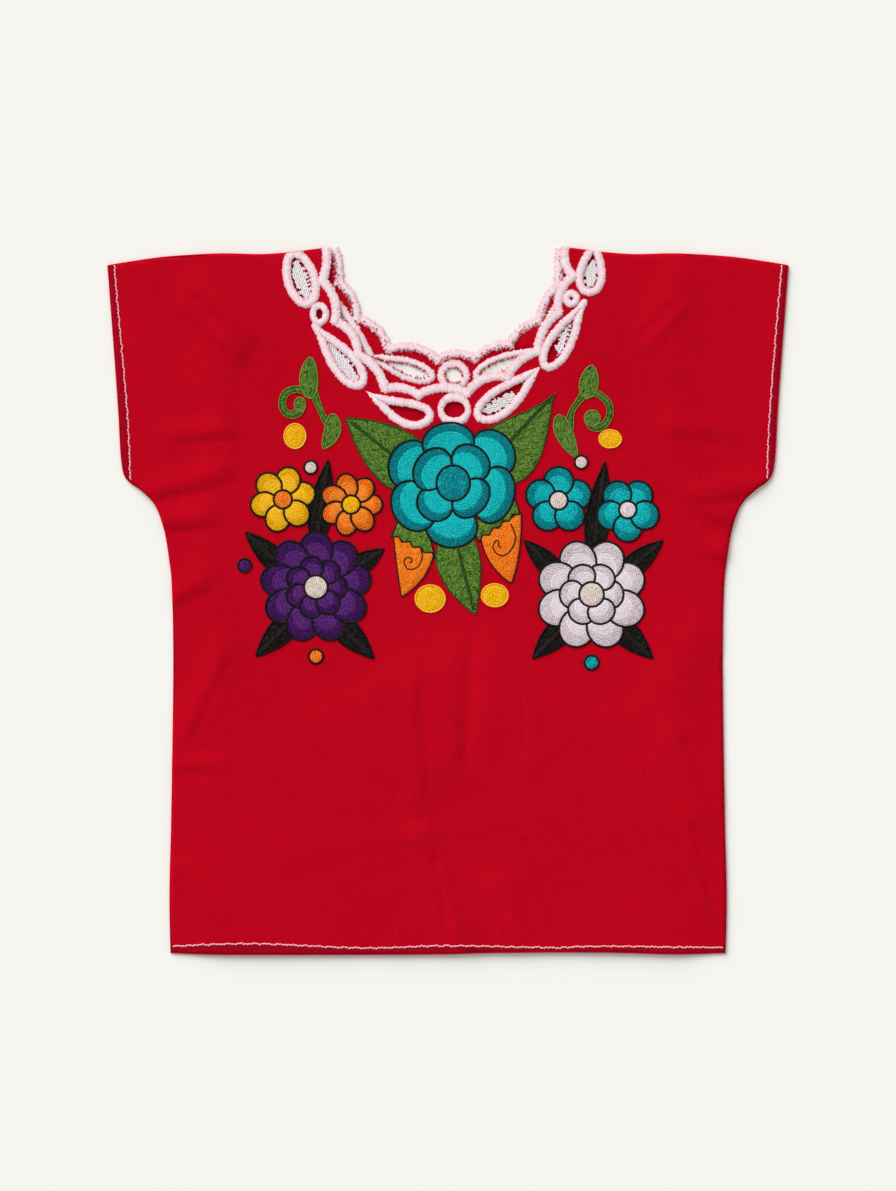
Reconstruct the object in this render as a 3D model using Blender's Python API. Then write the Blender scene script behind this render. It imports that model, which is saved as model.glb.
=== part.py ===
"""A cap-sleeved huipil blouse, laid flat with its front upwards.

Front and back are each cut in one with the cap sleeves and lie on each other, joined at the shoulder
folds and the side seams.  White satin cords edge the neck and its cutwork, and thick embroidered
flowers stand on the front.  Lengths are millimetres until a mesh is made, with +Y to the shoulders.
"""

import math

import bmesh
import bpy
from mathutils import Vector
from mathutils.geometry import delaunay_2d_cdt

MM = 0.001

# Cloth and thread thicknesses, and the space that neighbouring pieces keep.
CLOTH = 1.0
GAP = 0.3
CORD_HEIGHT = 0.8
CORD_WIDTH = 8.2
NOTCH_WIDTH = 8.8
SMALLEST_GAP = 5.0
RIM_HEIGHT = 0.6
CROWN_HEIGHT = 1.1
THREAD_GAP = 0.45

# How high the underside of the front lies: at the side seams, and where it rides over the back's cords.
SEAM_LEVEL = CLOTH + GAP
RIDE_LEVEL = CLOTH + GAP + CORD_HEIGHT + GAP
LOOSE_LIFT = 1.3
ROLL_FROM, ROLL_TO = 212.0, 262.0

# Mesh sizes.
PETAL_CORNERS = 12
HOLE_CORNERS = 16
DISC_CORNERS = 10
TOOTH_RISE, TOOTH_FALL = 0.55, 0.95
EVEN, STRAIGHT = 1.0, 0.0
CROWN_SHARE = 0.58
CROWN_SKIP = 2
EDGE_STEP = 19.0
FOLD_PITCH = 19.0
FLAT_PITCH = 36.0
RIM_CLEARANCE = 8.0
ARC_STEPS = 6
ARC_FULLNESS = 0.8
MERGE = 0.03
SHARPEST_TURN = 0.7

# Half of the outline, from the hem corner up the side seam and the cap sleeve to its shoulder corner.
#        half width, height
SIDE = (
    (269.0, -341.5),
    (270.0, -285.0),
    (268.2, -205.0),
    (266.3, -70.0),
    (267.4, 8.0),
    (270.4, 40.0),
    (275.8, 71.0),
    (284.5, 93.0),
    (298.0, 107.0),
    (311.5, 117.5),
    (316.6, 136.0),
    (319.6, 186.0),
    (324.2, 250.0),
    (329.9, 325.0),
)
# The shoulder fold, from the sleeve corner to the neck.
#        half width, height
SHOULDER = (
    (329.9, 325.0),
    (312.0, 328.1),
    (272.0, 333.6),
    (222.0, 336.3),
    (180.0, 335.7),
    (148.0, 338.0),
)
# The hem, from left to right.
HEM = (
    (-269.0, -341.5),
    (-216.0, -343.0),
    (-30.0, -342.8),
    (50.0, -341.1),
    (148.0, -340.8),
    (221.0, -342.6),
    (269.0, -341.5),
)

# Neck edges: the inward notches of the scallops, and how far the scallop after each bulges into the neck.
#        x, y, bulge
FRONT_NECK = (
    (-118.3, 341.3, 2.6),
    (-122.2, 309.6, 6.0),
    (-109.6, 270.7, 6.5),
    (-87.3, 238.1, 5.2),
    (-61.1, 205.0, 4.0),
    (-28.6, 198.8, 6.5),
    (18.4, 200.5, 7.0),
    (57.9, 216.1, 4.5),
    (86.8, 241.0, 5.0),
    (107.0, 278.8, 5.5),
    (121.3, 314.2, 4.0),
    (113.8, 342.6, 0.0),
)
BACK_NECK = (
    (-110.9, 340.8, 2.5),
    (-106.4, 308.1, 5.3),
    (-89.4, 274.2, 6.0),
    (-57.4, 243.3, 7.0),
    (-10.2, 233.3, 5.6),
    (25.9, 234.4, 4.5),
    (60.1, 247.8, 5.0),
    (88.7, 270.7, 4.3),
    (106.9, 304.8, 0.0),
    (108.1, 341.5, 0.0),
)

# Cutwork petals round the neck, each a corded hole.
#        tip x, tip y, end x, end y, width, sharpness of the tip (0 gives an oval), bend to the left,
#        cord width, where along it the hole starts
FRONT_PETALS = (
    (-151.4, 340.6, -133.8, 283.4, 34.0, 0.1, 0.0, 8.4, 0.14),
    (-130.0, 267.0, -81.7, 206.0, 29.0, 1.0, 0.0, 8.0, 0.21),
    (-79.8, 203.1, -14.0, 175.8, 28.6, 1.5, -5.0, 8.0, 0.3),
    (89.2, 226.5, 26.6, 175.5, 30.5, 1.0, 2.5, 7.9, 0.24),
    (132.5, 290.0, 93.1, 223.3, 28.0, 1.0, 0.0, 7.8, 0.24),
    (142.6, 351.0, 135.8, 294.8, 29.4, 1.0, 0.0, 7.8, 0.29),
)
BACK_PETALS = (
    (-124.3, 305.6, -71.0, 225.0, 19.5, 0.0, 0.0, 7.6, 0.2),
    (-78.1, 237.5, -12.6, 215.1, 22.5, 1.0, 0.0, 6.3, 0.24),
    (95.3, 245.4, 24.4, 216.3, 22.5, 1.0, 0.0, 6.3, 0.24),
    (117.4, 305.0, 95.0, 249.0, 19.0, 1.0, 0.0, 6.3, 0.24),
)
# Cutwork rings between the petals.
#        x, y, outer half width, outer half height, hole half width, hole half height
FRONT_RINGS = (
    (-124.5, 277.4, 9.6, 12.0, 2.1, 4.2),
    (6.2, 184.9, 16.4, 16.8, 9.3, 7.8),
    (119.3, 292.5, 8.8, 8.8, 2.1, 2.1),
)
BACK_RINGS = ((5.5, 218.2, 15.6, 14.6, 8.6, 7.6),)
HOLE_SHARPNESS = 0.8
CLOTH_UNDER_CORD = 1.2

# The stiff, flat stretches that the embroidery makes, clear of the folds.
#        x, y, half width, half height
FLAT_ZONES = (
    (-127.0, 46.0, 88.0, 122.0),
    (137.0, 46.0, 90.0, 128.0),
    (0.0, 120.0, 105.0, 142.0),
    (0.0, 330.0, 180.0, 180.0),
    (-146.0, 190.0, 55.0, 70.0),
    (135.0, 190.0, 62.0, 72.0),
)
ZONE_FADE = 0.38
# Where the front counts as folded, and takes a finer mesh.
LEAST_FREEDOM, LEAST_FOLD = 0.05, 0.12

# Soft folds of the front, as low ridges between two ends, which fade out more slowly past the ends.
END_FADE = 0.45
#        x1, y1, x2, y2, half width, height
FOLDS = (
    (-247.0, 302.0, -178.0, 222.0, 15.0, 2.4),
    (213.0, 304.0, 166.0, 236.0, 14.0, 2.2),
    (-262.0, 162.0, -176.0, 166.0, 12.0, 2.0),
    (172.0, 168.0, 262.0, 166.0, 13.0, 1.5),
    (-282.0, 108.0, -204.0, 128.0, 12.0, 2.2),
    (-278.0, 76.0, -204.0, 84.0, 12.0, 2.4),
    (-260.0, 6.0, -204.0, 38.0, 13.0, 2.0),
    (-250.0, -122.0, -216.0, -48.0, 14.0, 2.0),
    (-262.0, -160.0, -228.0, -158.0, 10.0, 1.4),
    (-254.0, -262.0, -228.0, -290.0, 12.0, 1.5),
    (240.0, 104.0, 288.0, 112.0, 12.0, 2.0),
    (212.0, 112.0, 262.0, 84.0, 13.0, 2.6),
    (214.0, 50.0, 264.0, 46.0, 12.0, 2.2),
    (210.0, 24.0, 242.0, -30.0, 13.0, 2.4),
    (224.0, -136.0, 250.0, -188.0, 13.0, 2.0),
    (236.0, -214.0, 250.0, -288.0, 12.0, 1.8),
    (40.0, -24.0, 38.0, -128.0, 17.0, 3.0),
    (-2.0, -36.0, 2.0, -150.0, 15.0, 2.0),
    (-34.0, -84.0, -26.0, -180.0, 14.0, 1.8),
    (-26.0, -236.0, 8.0, -314.0, 15.0, 2.8),
    (-146.0, -246.0, -30.0, -228.0, 14.0, 1.6),
    (-20.0, -228.0, 88.0, -210.0, 14.0, 1.4),
    (54.0, -284.0, 62.0, -322.0, 12.0, 1.6),
    (-70.0, -26.0, -36.0, -28.0, 11.0, 1.4),
    (72.0, -62.0, 78.0, -150.0, 14.0, 1.3),
)

# The rose: its petals are ovals round the centre, the outer ring sewn first, over a round ground.
ROSE_CENTRE = (5.0, 113.7)
#        angle, distance, half width along the ring, half width outwards
ROSE_PETALS = (
    (157, 45.0, 24.5, 20.8),
    (37, 48.3, 24.5, 20.0),
    (97, 39.5, 25.3, 19.3),
    (-92, 42.5, 25.0, 20.0),
    (-150, 44.3, 25.5, 20.8),
    (-16, 41.0, 28.0, 19.5),
    (-132, 26.5, 18.0, 16.5),
    (146, 24.5, 22.0, 17.0),
    (49, 26.0, 20.0, 16.5),
    (-40, 22.5, 21.5, 15.5),
)
ROSE_HEART = (16.3, 17.3)
ROSE_GROUND = 36.0
# Broad leaves, from the tip to the end that the rose covers.
#        tip x, tip y, end x, end y, width, sharpness, bend to the left
LEAVES = {
    "leaf_left": (-99.1, 177.0, -19.1, 113.7, 55.0, 1.0, 0.0),
    "leaf_right": (103.8, 201.3, 31.5, 123.5, 60.0, 1.8, 6.8),
    "leaf_low": (26.4, -14.0, 4.9, 68.0, 42.5, 1.0, 2.9),
}
# A calyx is a jagged band between the rose and a bud: the two ends of its teeth, then its hidden side.
#        start x, start y, end x, end y, inner x, inner y, inner x, inner y
CALYXES = {
    "calyx_left": (-55.0, 61.5, -12.6, 41.0, -20.0, 72.0, -44.0, 88.0),
    "calyx_right": (30.5, 57.0, 69.5, 83.5, 65.0, 99.0, 20.0, 74.0),
}
CALYX_TEETH = 4
TOOTH_DEPTH = 4.0
# A bud has two upper corners, under the calyx, and a tip, with bowed sides.
#        left x, left y, tip x, tip y, right x, right y, left bow, right bow
BUDS = {
    "bud_left": (-53.5, 66.0, -45.2, 3.5, -13.5, 46.0, 0.5, 6.0),
    "bud_right": (31.5, 63.0, 61.6, 16.5, 70.5, 86.0, 6.5, 3.5),
}
# Tendrils: a coiling vine, its stem, and two lobes.
#        x, y, width
VINES = {
    "tendril_left": (
        (
            (-128.0, 196.4, 6.5),
            (-137.2, 202.3, 6.4),
            (-144.8, 204.5, 6.3),
            (-152.9, 203.4, 6.3),
            (-159.1, 198.0, 6.3),
            (-160.5, 188.7, 6.3),
            (-156.8, 181.7, 6.4),
            (-150.3, 179.8, 7.0),
            (-144.7, 183.6, 9.0),
            (-143.4, 189.0, 9.5),
        ),
        ((-130.5, 202.0, 8.0), (-124.4, 186.7, 5.2), (-120.1, 177.0, 5.5), (-113.5, 169.0, 9.0)),
    ),
    "tendril_right": (
        (
            (132.9, 197.8, 6.0),
            (142.6, 201.0, 6.0),
            (151.0, 196.0, 6.0),
            (156.3, 188.9, 6.0),
            (156.5, 179.0, 6.0),
            (151.8, 170.7, 6.0),
            (145.3, 167.3, 7.0),
            (138.6, 170.0, 8.0),
            (138.2, 177.5, 8.0),
        ),
        ((133.0, 202.0, 8.0), (125.1, 191.0, 5.2), (119.8, 182.8, 5.2), (116.6, 167.0, 10.0)),
    ),
}
#        tip x, tip y, end x, end y, width, sharpness, bend to the left
LOBES = {
    "tendril_left": (
        (-133.0, 235.6, -133.5, 195.4, 17.3, 0.25, -1.6),
        (-120.7, 147.0, -110.6, 180.6, 15.5, 0.35, -3.4),
    ),
    "tendril_right": (
        (139.7, 228.0, 133.9, 196.3, 17.8, 0.35, 0.0),
        (125.1, 138.0, 106.2, 179.5, 16.3, 0.6, 1.5),
    ),
}
#        x, y, half width, half height
COIL_ENDS = {
    "tendril_left": (-143.4, 189.5, 5.6, 7.2),
    "tendril_right": (139.8, 176.5, 7.7, 7.9),
}
#        x, y, half width, half height
DOTS = {
    "dot_left": (-148.2, 159.2, 10.5, 12.1),
    "dot_right": (157.1, 156.5, 10.9, 8.8),
    "dot_low_left": (-17.2, 1.8, 14.5, 13.2),
    "dot_low_right": (45.4, 5.0, 13.0, 11.1),
}
# The two side sprays.  A blossom is one or two rings of oval petals round a heart of another colour.
#        x, y, colour, heart colour, heart radius,
#        then for each ring: petals, distance, half width along the ring, half width outwards, turn
BLOSSOMS = {
    "dahlia": (
        (-128.0, 13.0, "purple_thread", "cream_thread", 11.5),
        (9, 36.0, 16.0, 18.0, 10),
        (7, 19.0, 11.5, 11.5, 0),
    ),
    "daisy": (
        (-160.0, 98.0, "yellow_thread", "orange_thread", 9.0),
        (6, 19.0, 12.0, 13.0, 15),
    ),
    "marigold": (
        (-94.0, 93.0, "orange_thread", "yellow_thread", 9.0),
        (7, 18.0, 10.5, 12.5, 0),
    ),
    "camellia": (
        (139.0, 6.0, "white_thread", "cream_thread", 12.0),
        (8, 35.0, 17.5, 19.0, 22),
        (6, 19.0, 13.5, 12.0, 0),
    ),
    "anemone": (
        (107.0, 97.0, "teal_thread", "cream_thread", 9.0),
        (5, 18.5, 14.5, 14.0, 18),
    ),
    "primrose": (
        (174.0, 88.0, "teal_thread", "white_thread", 8.5),
        (5, 17.5, 14.0, 13.5, 54),
    ),
}
#        tip x, tip y, end x, end y, width
SPRAY_LEAVES = {
    "spray_leaf_1": (-116.0, 136.0, -127.0, 60.0, 23.0),
    "spray_leaf_2": (-196.0, 66.0, -158.0, 30.0, 21.0),
    "spray_leaf_3": (-62.0, 50.0, -98.0, 26.0, 20.0),
    "spray_leaf_4": (-186.0, -54.0, -146.0, -14.0, 24.0),
    "spray_leaf_5": (-72.0, -56.0, -112.0, -16.0, 24.0),
    "spray_leaf_6": (152.0, 134.0, 141.0, 48.0, 23.0),
    "spray_leaf_7": (208.0, 58.0, 168.0, 24.0, 21.0),
    "spray_leaf_8": (74.0, 58.0, 108.0, 24.0, 20.0),
    "spray_leaf_9": (198.0, -56.0, 158.0, -18.0, 24.0),
    "spray_leaf_10": (82.0, -56.0, 120.0, -18.0, 24.0),
}
#        x, y, radius, colour
BERRIES = {
    "berry_1": (-133.0, 129.0, 6.5, "cream_thread"),
    "berry_2": (-197.0, 34.0, 6.5, "purple_thread"),
    "berry_3": (-128.0, -54.0, 7.0, "orange_thread"),
    "berry_4": (129.0, 134.0, 6.5, "cream_thread"),
    "berry_5": (139.0, -60.0, 7.0, "teal_thread"),
}

# Cloth and thread colours, as linear colour values.
COLOURS = {
    "red_cloth": (0.50, 0.004, 0.013),
    "white_thread": (0.84, 0.80, 0.82),
    "teal_thread": (0.010, 0.40, 0.42),
    "leaf_thread": (0.085, 0.155, 0.022),
    "vine_thread": (0.10, 0.15, 0.02),
    "yellow_thread": (0.84, 0.42, 0.012),
    "orange_thread": (0.94, 0.24, 0.012),
    "purple_thread": (0.062, 0.007, 0.115),
    "cream_thread": (0.72, 0.60, 0.56),
    "black_thread": (0.010, 0.008, 0.008),
}
CLOTH_ROUGHNESS = 0.85
THREAD_ROUGHNESS = 0.5


def smoothstep(value):
    value = min(max(value, 0.0), 1.0)
    return value * value * (3.0 - 2.0 * value)


def across(start, end):
    """The unit vector from start to end, its left-hand normal, and the distance."""
    dx, dy = end[0] - start[0], end[1] - start[1]
    length = math.hypot(dx, dy)
    return (dx / length, dy / length), (-dy / length, dx / length), length


def curve_through(points, step):
    """Points about a step apart on a smooth curve through the given ones, without the last."""
    padded = (points[0], *points, points[-1])
    found = []
    for before, start, end, after in zip(padded, padded[1:], padded[2:], padded[3:]):
        count = max(1, round(math.dist(start, end) / step))
        for index in range(count):
            t = index / count
            found.append(
                tuple(
                    0.5
                    * (
                        2 * b
                        + (c - a) * t
                        + (2 * a - 5 * b + 4 * c - d) * t * t
                        + (3 * b - a - 3 * c + d) * t**3
                    )
                    for a, b, c, d in zip(before, start, end, after)
                )
            )
    return found


def scallop(start, end, bulge):
    """Points on a shallow arc from start up to, not with, end, bulging to its left."""
    along, left, length = across(start, end)
    found = []
    for index in range(ARC_STEPS):
        t = index / ARC_STEPS
        rise = bulge * math.sin(math.pi * t) ** ARC_FULLNESS
        found.append(
            (
                start[0] + along[0] * length * t + left[0] * rise,
                start[1] + along[1] * length * t + left[1] * rise,
            )
        )
    return found


def neck_scallops(rows):
    """The arcs of a neck edge from the left shoulder to the right, each with both its ends."""
    return [
        scallop(row[:2], after[:2], row[2]) + [after[:2]] for row, after in zip(rows, rows[1:])
    ]


def panel_outline(neck_rows):
    """The cut edge of a panel, anticlockwise from the left hem corner."""
    side = curve_through(SIDE, EDGE_STEP)
    shoulder = curve_through(SHOULDER, EDGE_STEP)
    shoulder.append(SHOULDER[-1])
    left_side = curve_through(SIDE[::-1], EDGE_STEP)
    neck = [point for arc in neck_scallops(neck_rows) for point in arc[:-1]]
    neck.append(neck_rows[-1][:2])
    outline = curve_through(HEM, EDGE_STEP)
    outline += side + shoulder + neck[::-1]
    outline += [(-x, y) for x, y in shoulder[::-1]][:-1]
    outline += [(-x, y) for x, y in left_side]
    return outline


def signed_area(outline):
    pairs = zip(outline, outline[1:] + outline[:1])
    return 0.5 * sum(a[0] * b[1] - b[0] * a[1] for a, b in pairs)


def anticlockwise(outline):
    return outline if signed_area(outline) > 0 else outline[::-1]


def petal(row, start=0.0, stop=1.0, inset=0.0, count=20):
    """A petal or leaf outline from its tip to its round end, or its middle part at an inset."""
    tip, end, width, sharpness, bend = row[:2], row[2:4], row[4] - 2 * inset, row[5], row[6]
    along, left, length = across(tip, end)
    if inset:
        sharpness *= HOLE_SHARPNESS
    angles = [2 * math.pi * index / count for index in range(count)]
    spread = [math.sin(angle) * math.sin(angle / 2) ** sharpness for angle in angles]
    widest = max(spread)
    found = []
    for angle, side in zip(angles, spread):
        share = start + (stop - start) * (1 - math.cos(angle)) / 2
        offset = 0.5 * width * side / widest + 4 * bend * share * (1 - share)
        found.append(
            (
                tip[0] + along[0] * length * share + left[0] * offset,
                tip[1] + along[1] * length * share + left[1] * offset,
            )
        )
    return anticlockwise(found)


def oval(x, y, half_width, half_height, turn=0.0, count=16):
    cosine, sine = math.cos(turn), math.sin(turn)
    found = []
    for index in range(count):
        angle = 2 * math.pi * index / count
        u, v = half_width * math.cos(angle), half_height * math.sin(angle)
        found.append((x + u * cosine - v * sine, y + u * sine + v * cosine))
    return found


def petal_hole(row):
    """The hole inside a corded petal: a like shape, a cord's width in and well short of the tip."""
    cord_width, start = row[7:]
    stop = 1 - cord_width / math.dist(row[:2], row[2:4])
    return petal(row, start, stop, cord_width, HOLE_CORNERS)


def offset_outline(outline, distance):
    """The outline moved outwards by a small distance."""
    found = []
    count = len(outline)
    for index, point in enumerate(outline):
        _, first, _ = across(outline[index - 1], point)
        _, second, _ = across(point, outline[(index + 1) % count])
        nx, ny = -first[0] - second[0], -first[1] - second[1]
        reach = 2 * distance / max(math.hypot(nx, ny), SHARPEST_TURN) ** 2
        found.append((point[0] + reach * nx, point[1] + reach * ny))
    return found


def ribbon(points, widths):
    """Quads along a route, with the given widths at its points."""
    sides = []
    for index, (point, width) in enumerate(zip(points, widths)):
        before, after = points[max(index - 1, 0)], points[min(index + 1, len(points) - 1)]
        _, left, _ = across(before, after)
        shift = (left[0] * width / 2, left[1] * width / 2)
        sides.append(
            (
                (point[0] + shift[0], point[1] + shift[1]),
                (point[0] - shift[0], point[1] - shift[1]),
            )
        )
    return [anticlockwise([a[1], b[1], b[0], a[0]]) for a, b in zip(sides, sides[1:])]


def fold_height(x, y):
    """How far the soft folds raise the front at a point."""
    height = 0.0
    for x1, y1, x2, y2, half_width, rise in FOLDS:
        along, left, length = across((x1, y1), (x2, y2))
        run = (x - x1) * along[0] + (y - y1) * along[1]
        aside = (x - x1) * left[0] + (y - y1) * left[1]
        beyond = max(-run, run - length, 0.0)
        height += rise * math.exp(-(aside**2 + END_FADE * beyond**2) / half_width**2)
    return height


def freedom(x, y):
    """0 on the stiff embroidered stretches of the front, 1 where its cloth is loose."""
    share = 1.0
    for centre_x, centre_y, half_width, half_height in FLAT_ZONES:
        reach = math.hypot((x - centre_x) / half_width, (y - centre_y) / half_height)
        share *= smoothstep((reach - 1.0) / ZONE_FADE)
    return share


def front_under(x, y):
    """Height of the underside of the front."""
    roll = 1.0 - smoothstep((abs(x) - ROLL_FROM) / (ROLL_TO - ROLL_FROM))
    loose = freedom(x, y)
    level = SEAM_LEVEL + (RIDE_LEVEL - SEAM_LEVEL + LOOSE_LIFT * loose) * roll
    return level + fold_height(x, y) * loose


def front_over(x, y):
    return front_under(x, y) + CLOTH


def arrange(polygons, loose_points=()):
    """Triangulates overlapping polygons together, and says which of them cover each triangle."""
    points, rings = [], []
    for polygon in polygons:
        rings.append(list(range(len(points), len(points) + len(polygon))))
        points += [Vector(point) for point in polygon]
    points += [Vector(point) for point in loose_points]
    found = delaunay_2d_cdt(points, [], rings, 0, MERGE, True)
    return found[0], found[2], [set(cover) for cover in found[5]]


def pieces_of(triangles):
    """Groups of triangles that hang together by their edges, the largest first."""
    owners = {}
    for index, triangle in enumerate(triangles):
        for a, b in zip(triangle, triangle[1:] + triangle[:1]):
            owners.setdefault(frozenset((a, b)), []).append(index)
    left = set(range(len(triangles)))
    groups = []
    while left:
        group, queue = [], [left.pop()]
        while queue:
            index = queue.pop()
            group.append(index)
            triangle = triangles[index]
            for a, b in zip(triangle, triangle[1:] + triangle[:1]):
                for other in owners[frozenset((a, b))]:
                    if other in left:
                        left.remove(other)
                        queue.append(other)
        groups.append(sorted(group))
    return sorted(groups, key=len, reverse=True)


def filled_slits(points, triangles, chosen):
    """The chosen triangles, with those of every gap that is too small for the thread to leave open."""
    spare = [index for index in range(len(triangles)) if index not in chosen]
    for group in pieces_of([triangles[index] for index in spare]):
        rings = [[points[corner] for corner in triangles[spare[item]]] for item in group]
        if sum(abs(signed_area(ring)) for ring in rings) < SMALLEST_GAP:
            chosen |= {spare[item] for item in group}
    return chosen


def rim_points(triangles):
    """The points on the outer edge of a group of triangles."""
    uses = {}
    for triangle in triangles:
        for a, b in zip(triangle, triangle[1:] + triangle[:1]):
            uses[frozenset((a, b))] = uses.get(frozenset((a, b)), 0) + 1
    return {point for edge, count in uses.items() if count == 1 for point in edge}


def material(name):
    made = bpy.data.materials.get(name)
    if made is None:
        made = bpy.data.materials.new(name)
        made.use_nodes = True
        shader = made.node_tree.nodes["Principled BSDF"]
        shader.inputs["Base Color"].default_value = (*COLOURS[name], 1.0)
        cloth = name == "red_cloth"
        shader.inputs["Roughness"].default_value = CLOTH_ROUGHNESS if cloth else THREAD_ROUGHNESS
        shader.inputs["Metallic"].default_value = 0.0
    return made


def slab(name, points, triangles, under, over, colour):
    """One closed solid over a flat triangulation, between two heights given for each point."""
    shape = bmesh.new()
    corners = {}
    for index in sorted({index for triangle in triangles for index in triangle}):
        corners[index] = shape.verts.new((points[index][0] * MM, points[index][1] * MM, 0.0))
    faces = [shape.faces.new([corners[index] for index in triangle]) for triangle in triangles]
    lifted = bmesh.ops.extrude_face_region(shape, geom=faces)["geom"]
    tops = {(item.co.x, item.co.y): item for item in lifted if isinstance(item, bmesh.types.BMVert)}
    for index, corner in corners.items():
        tops[(corner.co.x, corner.co.y)].co.z = over[index] * MM
        corner.co.z = under[index] * MM
    bmesh.ops.recalc_face_normals(shape, faces=shape.faces)
    mesh = bpy.data.meshes.new(name)
    shape.to_mesh(mesh)
    shape.free()
    made = bpy.data.objects.new(name, mesh)
    made.data.materials.append(material(colour))
    bpy.context.collection.objects.link(made)
    return made


def staggered_grid(is_fine):
    """Points of a staggered grid over the panel, closer together where is_fine says so."""
    found = []
    half_width, half_height = SIDE[-1][0], -SIDE[0][1]
    for pitch, fine in ((FOLD_PITCH, True), (FLAT_PITCH, False)):
        row_pitch = pitch * math.sqrt(0.75)
        for row in range(int(2 * half_height / row_pitch)):
            for column in range(int(2 * half_width / pitch)):
                x = (column + 0.5 * (row % 2)) * pitch - half_width
                y = row * row_pitch - half_height
                if is_fine(x, y) == fine:
                    found.append((x, y))
    return found


def is_loose(x, y):
    return freedom(x, y) > LEAST_FREEDOM and fold_height(x, y) > LEAST_FOLD


def make_panel(name, neck_rows, petals, rings, under, over, finest):
    """A panel of cloth with its scalloped neck and its cutwork holes; finest says where it folds."""
    outline = panel_outline(neck_rows)
    holes = [petal_hole(row) for row in petals]
    holes += [oval(x, y, hole_w, hole_h) for x, y, _, _, hole_w, hole_h in rings]
    holes = [offset_outline(hole, CLOTH_UNDER_CORD) for hole in holes]
    rims = [point for ring in [outline, *holes] for point in ring]
    grid = staggered_grid(finest) if finest else []
    loose = [
        point for point in grid if all(math.dist(point, rim) > RIM_CLEARANCE for rim in rims)
    ]
    points, triangles, covers = arrange([outline, *holes], loose)
    kept = [tri for tri, cover in zip(triangles, covers) if cover == {0}]
    kept = [kept[index] for index in pieces_of(kept)[0]]
    low = [under(*point) for point in points]
    high = [over(*point) for point in points]
    return slab(name, points, kept, low, high, "red_cloth")


def beyond_the_folds():
    """What lies past the shoulder folds beside the neck, where the petals' cords turn to the back."""
    found = []
    for side, (neck_x, neck_y, _) in ((-1, FRONT_NECK[0]), (1, FRONT_NECK[-1])):
        (far_x, far_y), (near_x, near_y) = SHOULDER[-2:]
        line = [(neck_x + side * CORD_WIDTH, neck_y), (side * near_x, near_y), (side * far_x, far_y)]
        found.append(anticlockwise([*line, *((x, y + CORD_WIDTH * 2) for x, y in line[::-1])]))
    return found


def make_cords(name, neck_rows, petals, rings, under, over_it):
    """The satin cords of one neck edge and its cutwork, joined into one raised lace."""
    shapes = [offset_outline(shape, THREAD_GAP) for shape in over_it]
    covered = set(range(len(shapes)))
    for arc in neck_scallops(neck_rows):
        shapes += ribbon(arc, [CORD_WIDTH] * len(arc))
    for x, y, _ in neck_rows[1:-1]:
        shapes.append(oval(x, y, NOTCH_WIDTH / 2, NOTCH_WIDTH / 2, count=DISC_CORNERS))
    first_petal = len(shapes)
    for row in petals:
        shapes.append(petal(row))
        shapes.append(petal_hole(row))
    for x, y, half_w, half_h, hole_w, hole_h in rings:
        shapes.append(oval(x, y, half_w, half_h))
        shapes.append(oval(x, y, hole_w, hole_h, count=DISC_CORNERS))
    points, triangles, covers = arrange(shapes)
    corded = set()
    for index, cover in enumerate(covers):
        petals_here = [
            shape for shape in cover if shape >= first_petal and (shape - first_petal) % 2 == 0
        ]
        on_edge = any(shape < first_petal for shape in cover - covered)
        if on_edge or any(shape + 1 not in cover for shape in petals_here):
            corded.add(index)
    corded = filled_slits(points, triangles, corded)
    kept = [triangles[index] for index in sorted(corded) if not covers[index] & covered]
    kept = [kept[index] for index in pieces_of(kept)[0]]
    low = [under(*point) + GAP for point in points]
    high = [height + CORD_HEIGHT for height in low]
    return slab(name, points, kept, low, high, "white_thread")


def make_motif(name, shapes, over_it, colour):
    """A raised patch of embroidery: shapes in sewing order, each crowned, less what is sewn over it."""
    cutters = [offset_outline(shape, THREAD_GAP) for shape in over_it]
    crowns = []
    for shape in shapes:
        centre = [sum(axis) / len(shape) for axis in zip(*shape)]
        crowns += [
            tuple(c + (p - c) * CROWN_SHARE for p, c in zip(point, centre))
            for point in shape[::CROWN_SKIP]
        ]
    points, triangles, covers = arrange([*shapes, *cutters], crowns)
    own = set(range(len(shapes)))
    kept, tops = [], []
    for triangle, cover in zip(triangles, covers):
        if cover & own and not cover - own:
            kept.append(triangle)
            tops.append(max(cover & own))
    chosen = pieces_of(kept)[0]
    kept, tops = [kept[index] for index in chosen], [tops[index] for index in chosen]
    rims = rim_points(kept)
    for top in set(tops):
        rims |= rim_points([tri for tri, owner in zip(kept, tops) if owner == top])
    low = [front_over(*point) + GAP for point in points]
    high = [
        height + (RIM_HEIGHT if index in rims else CROWN_HEIGHT) for index, height in enumerate(low)
    ]
    return slab(name, points, kept, low, high, colour)


def petal_ring(x, y, count, distance, along_ring, outwards, turn):
    """Oval petals spaced evenly round a point."""
    return [
        ring_petal(x, y, turn + 360 * index / count, distance, along_ring, outwards)
        for index in range(count)
    ]


def ring_petal(x, y, degrees, distance, along_ring, outwards):
    angle = math.radians(degrees)
    centre = (x + distance * math.cos(angle), y + distance * math.sin(angle))
    return oval(*centre, outwards, along_ring, angle, PETAL_CORNERS)


def bowed_side(start, end, bow):
    """Points from start up to, not with, end, bowed to the right of the way."""
    return scallop(start, end, -bow)


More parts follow.
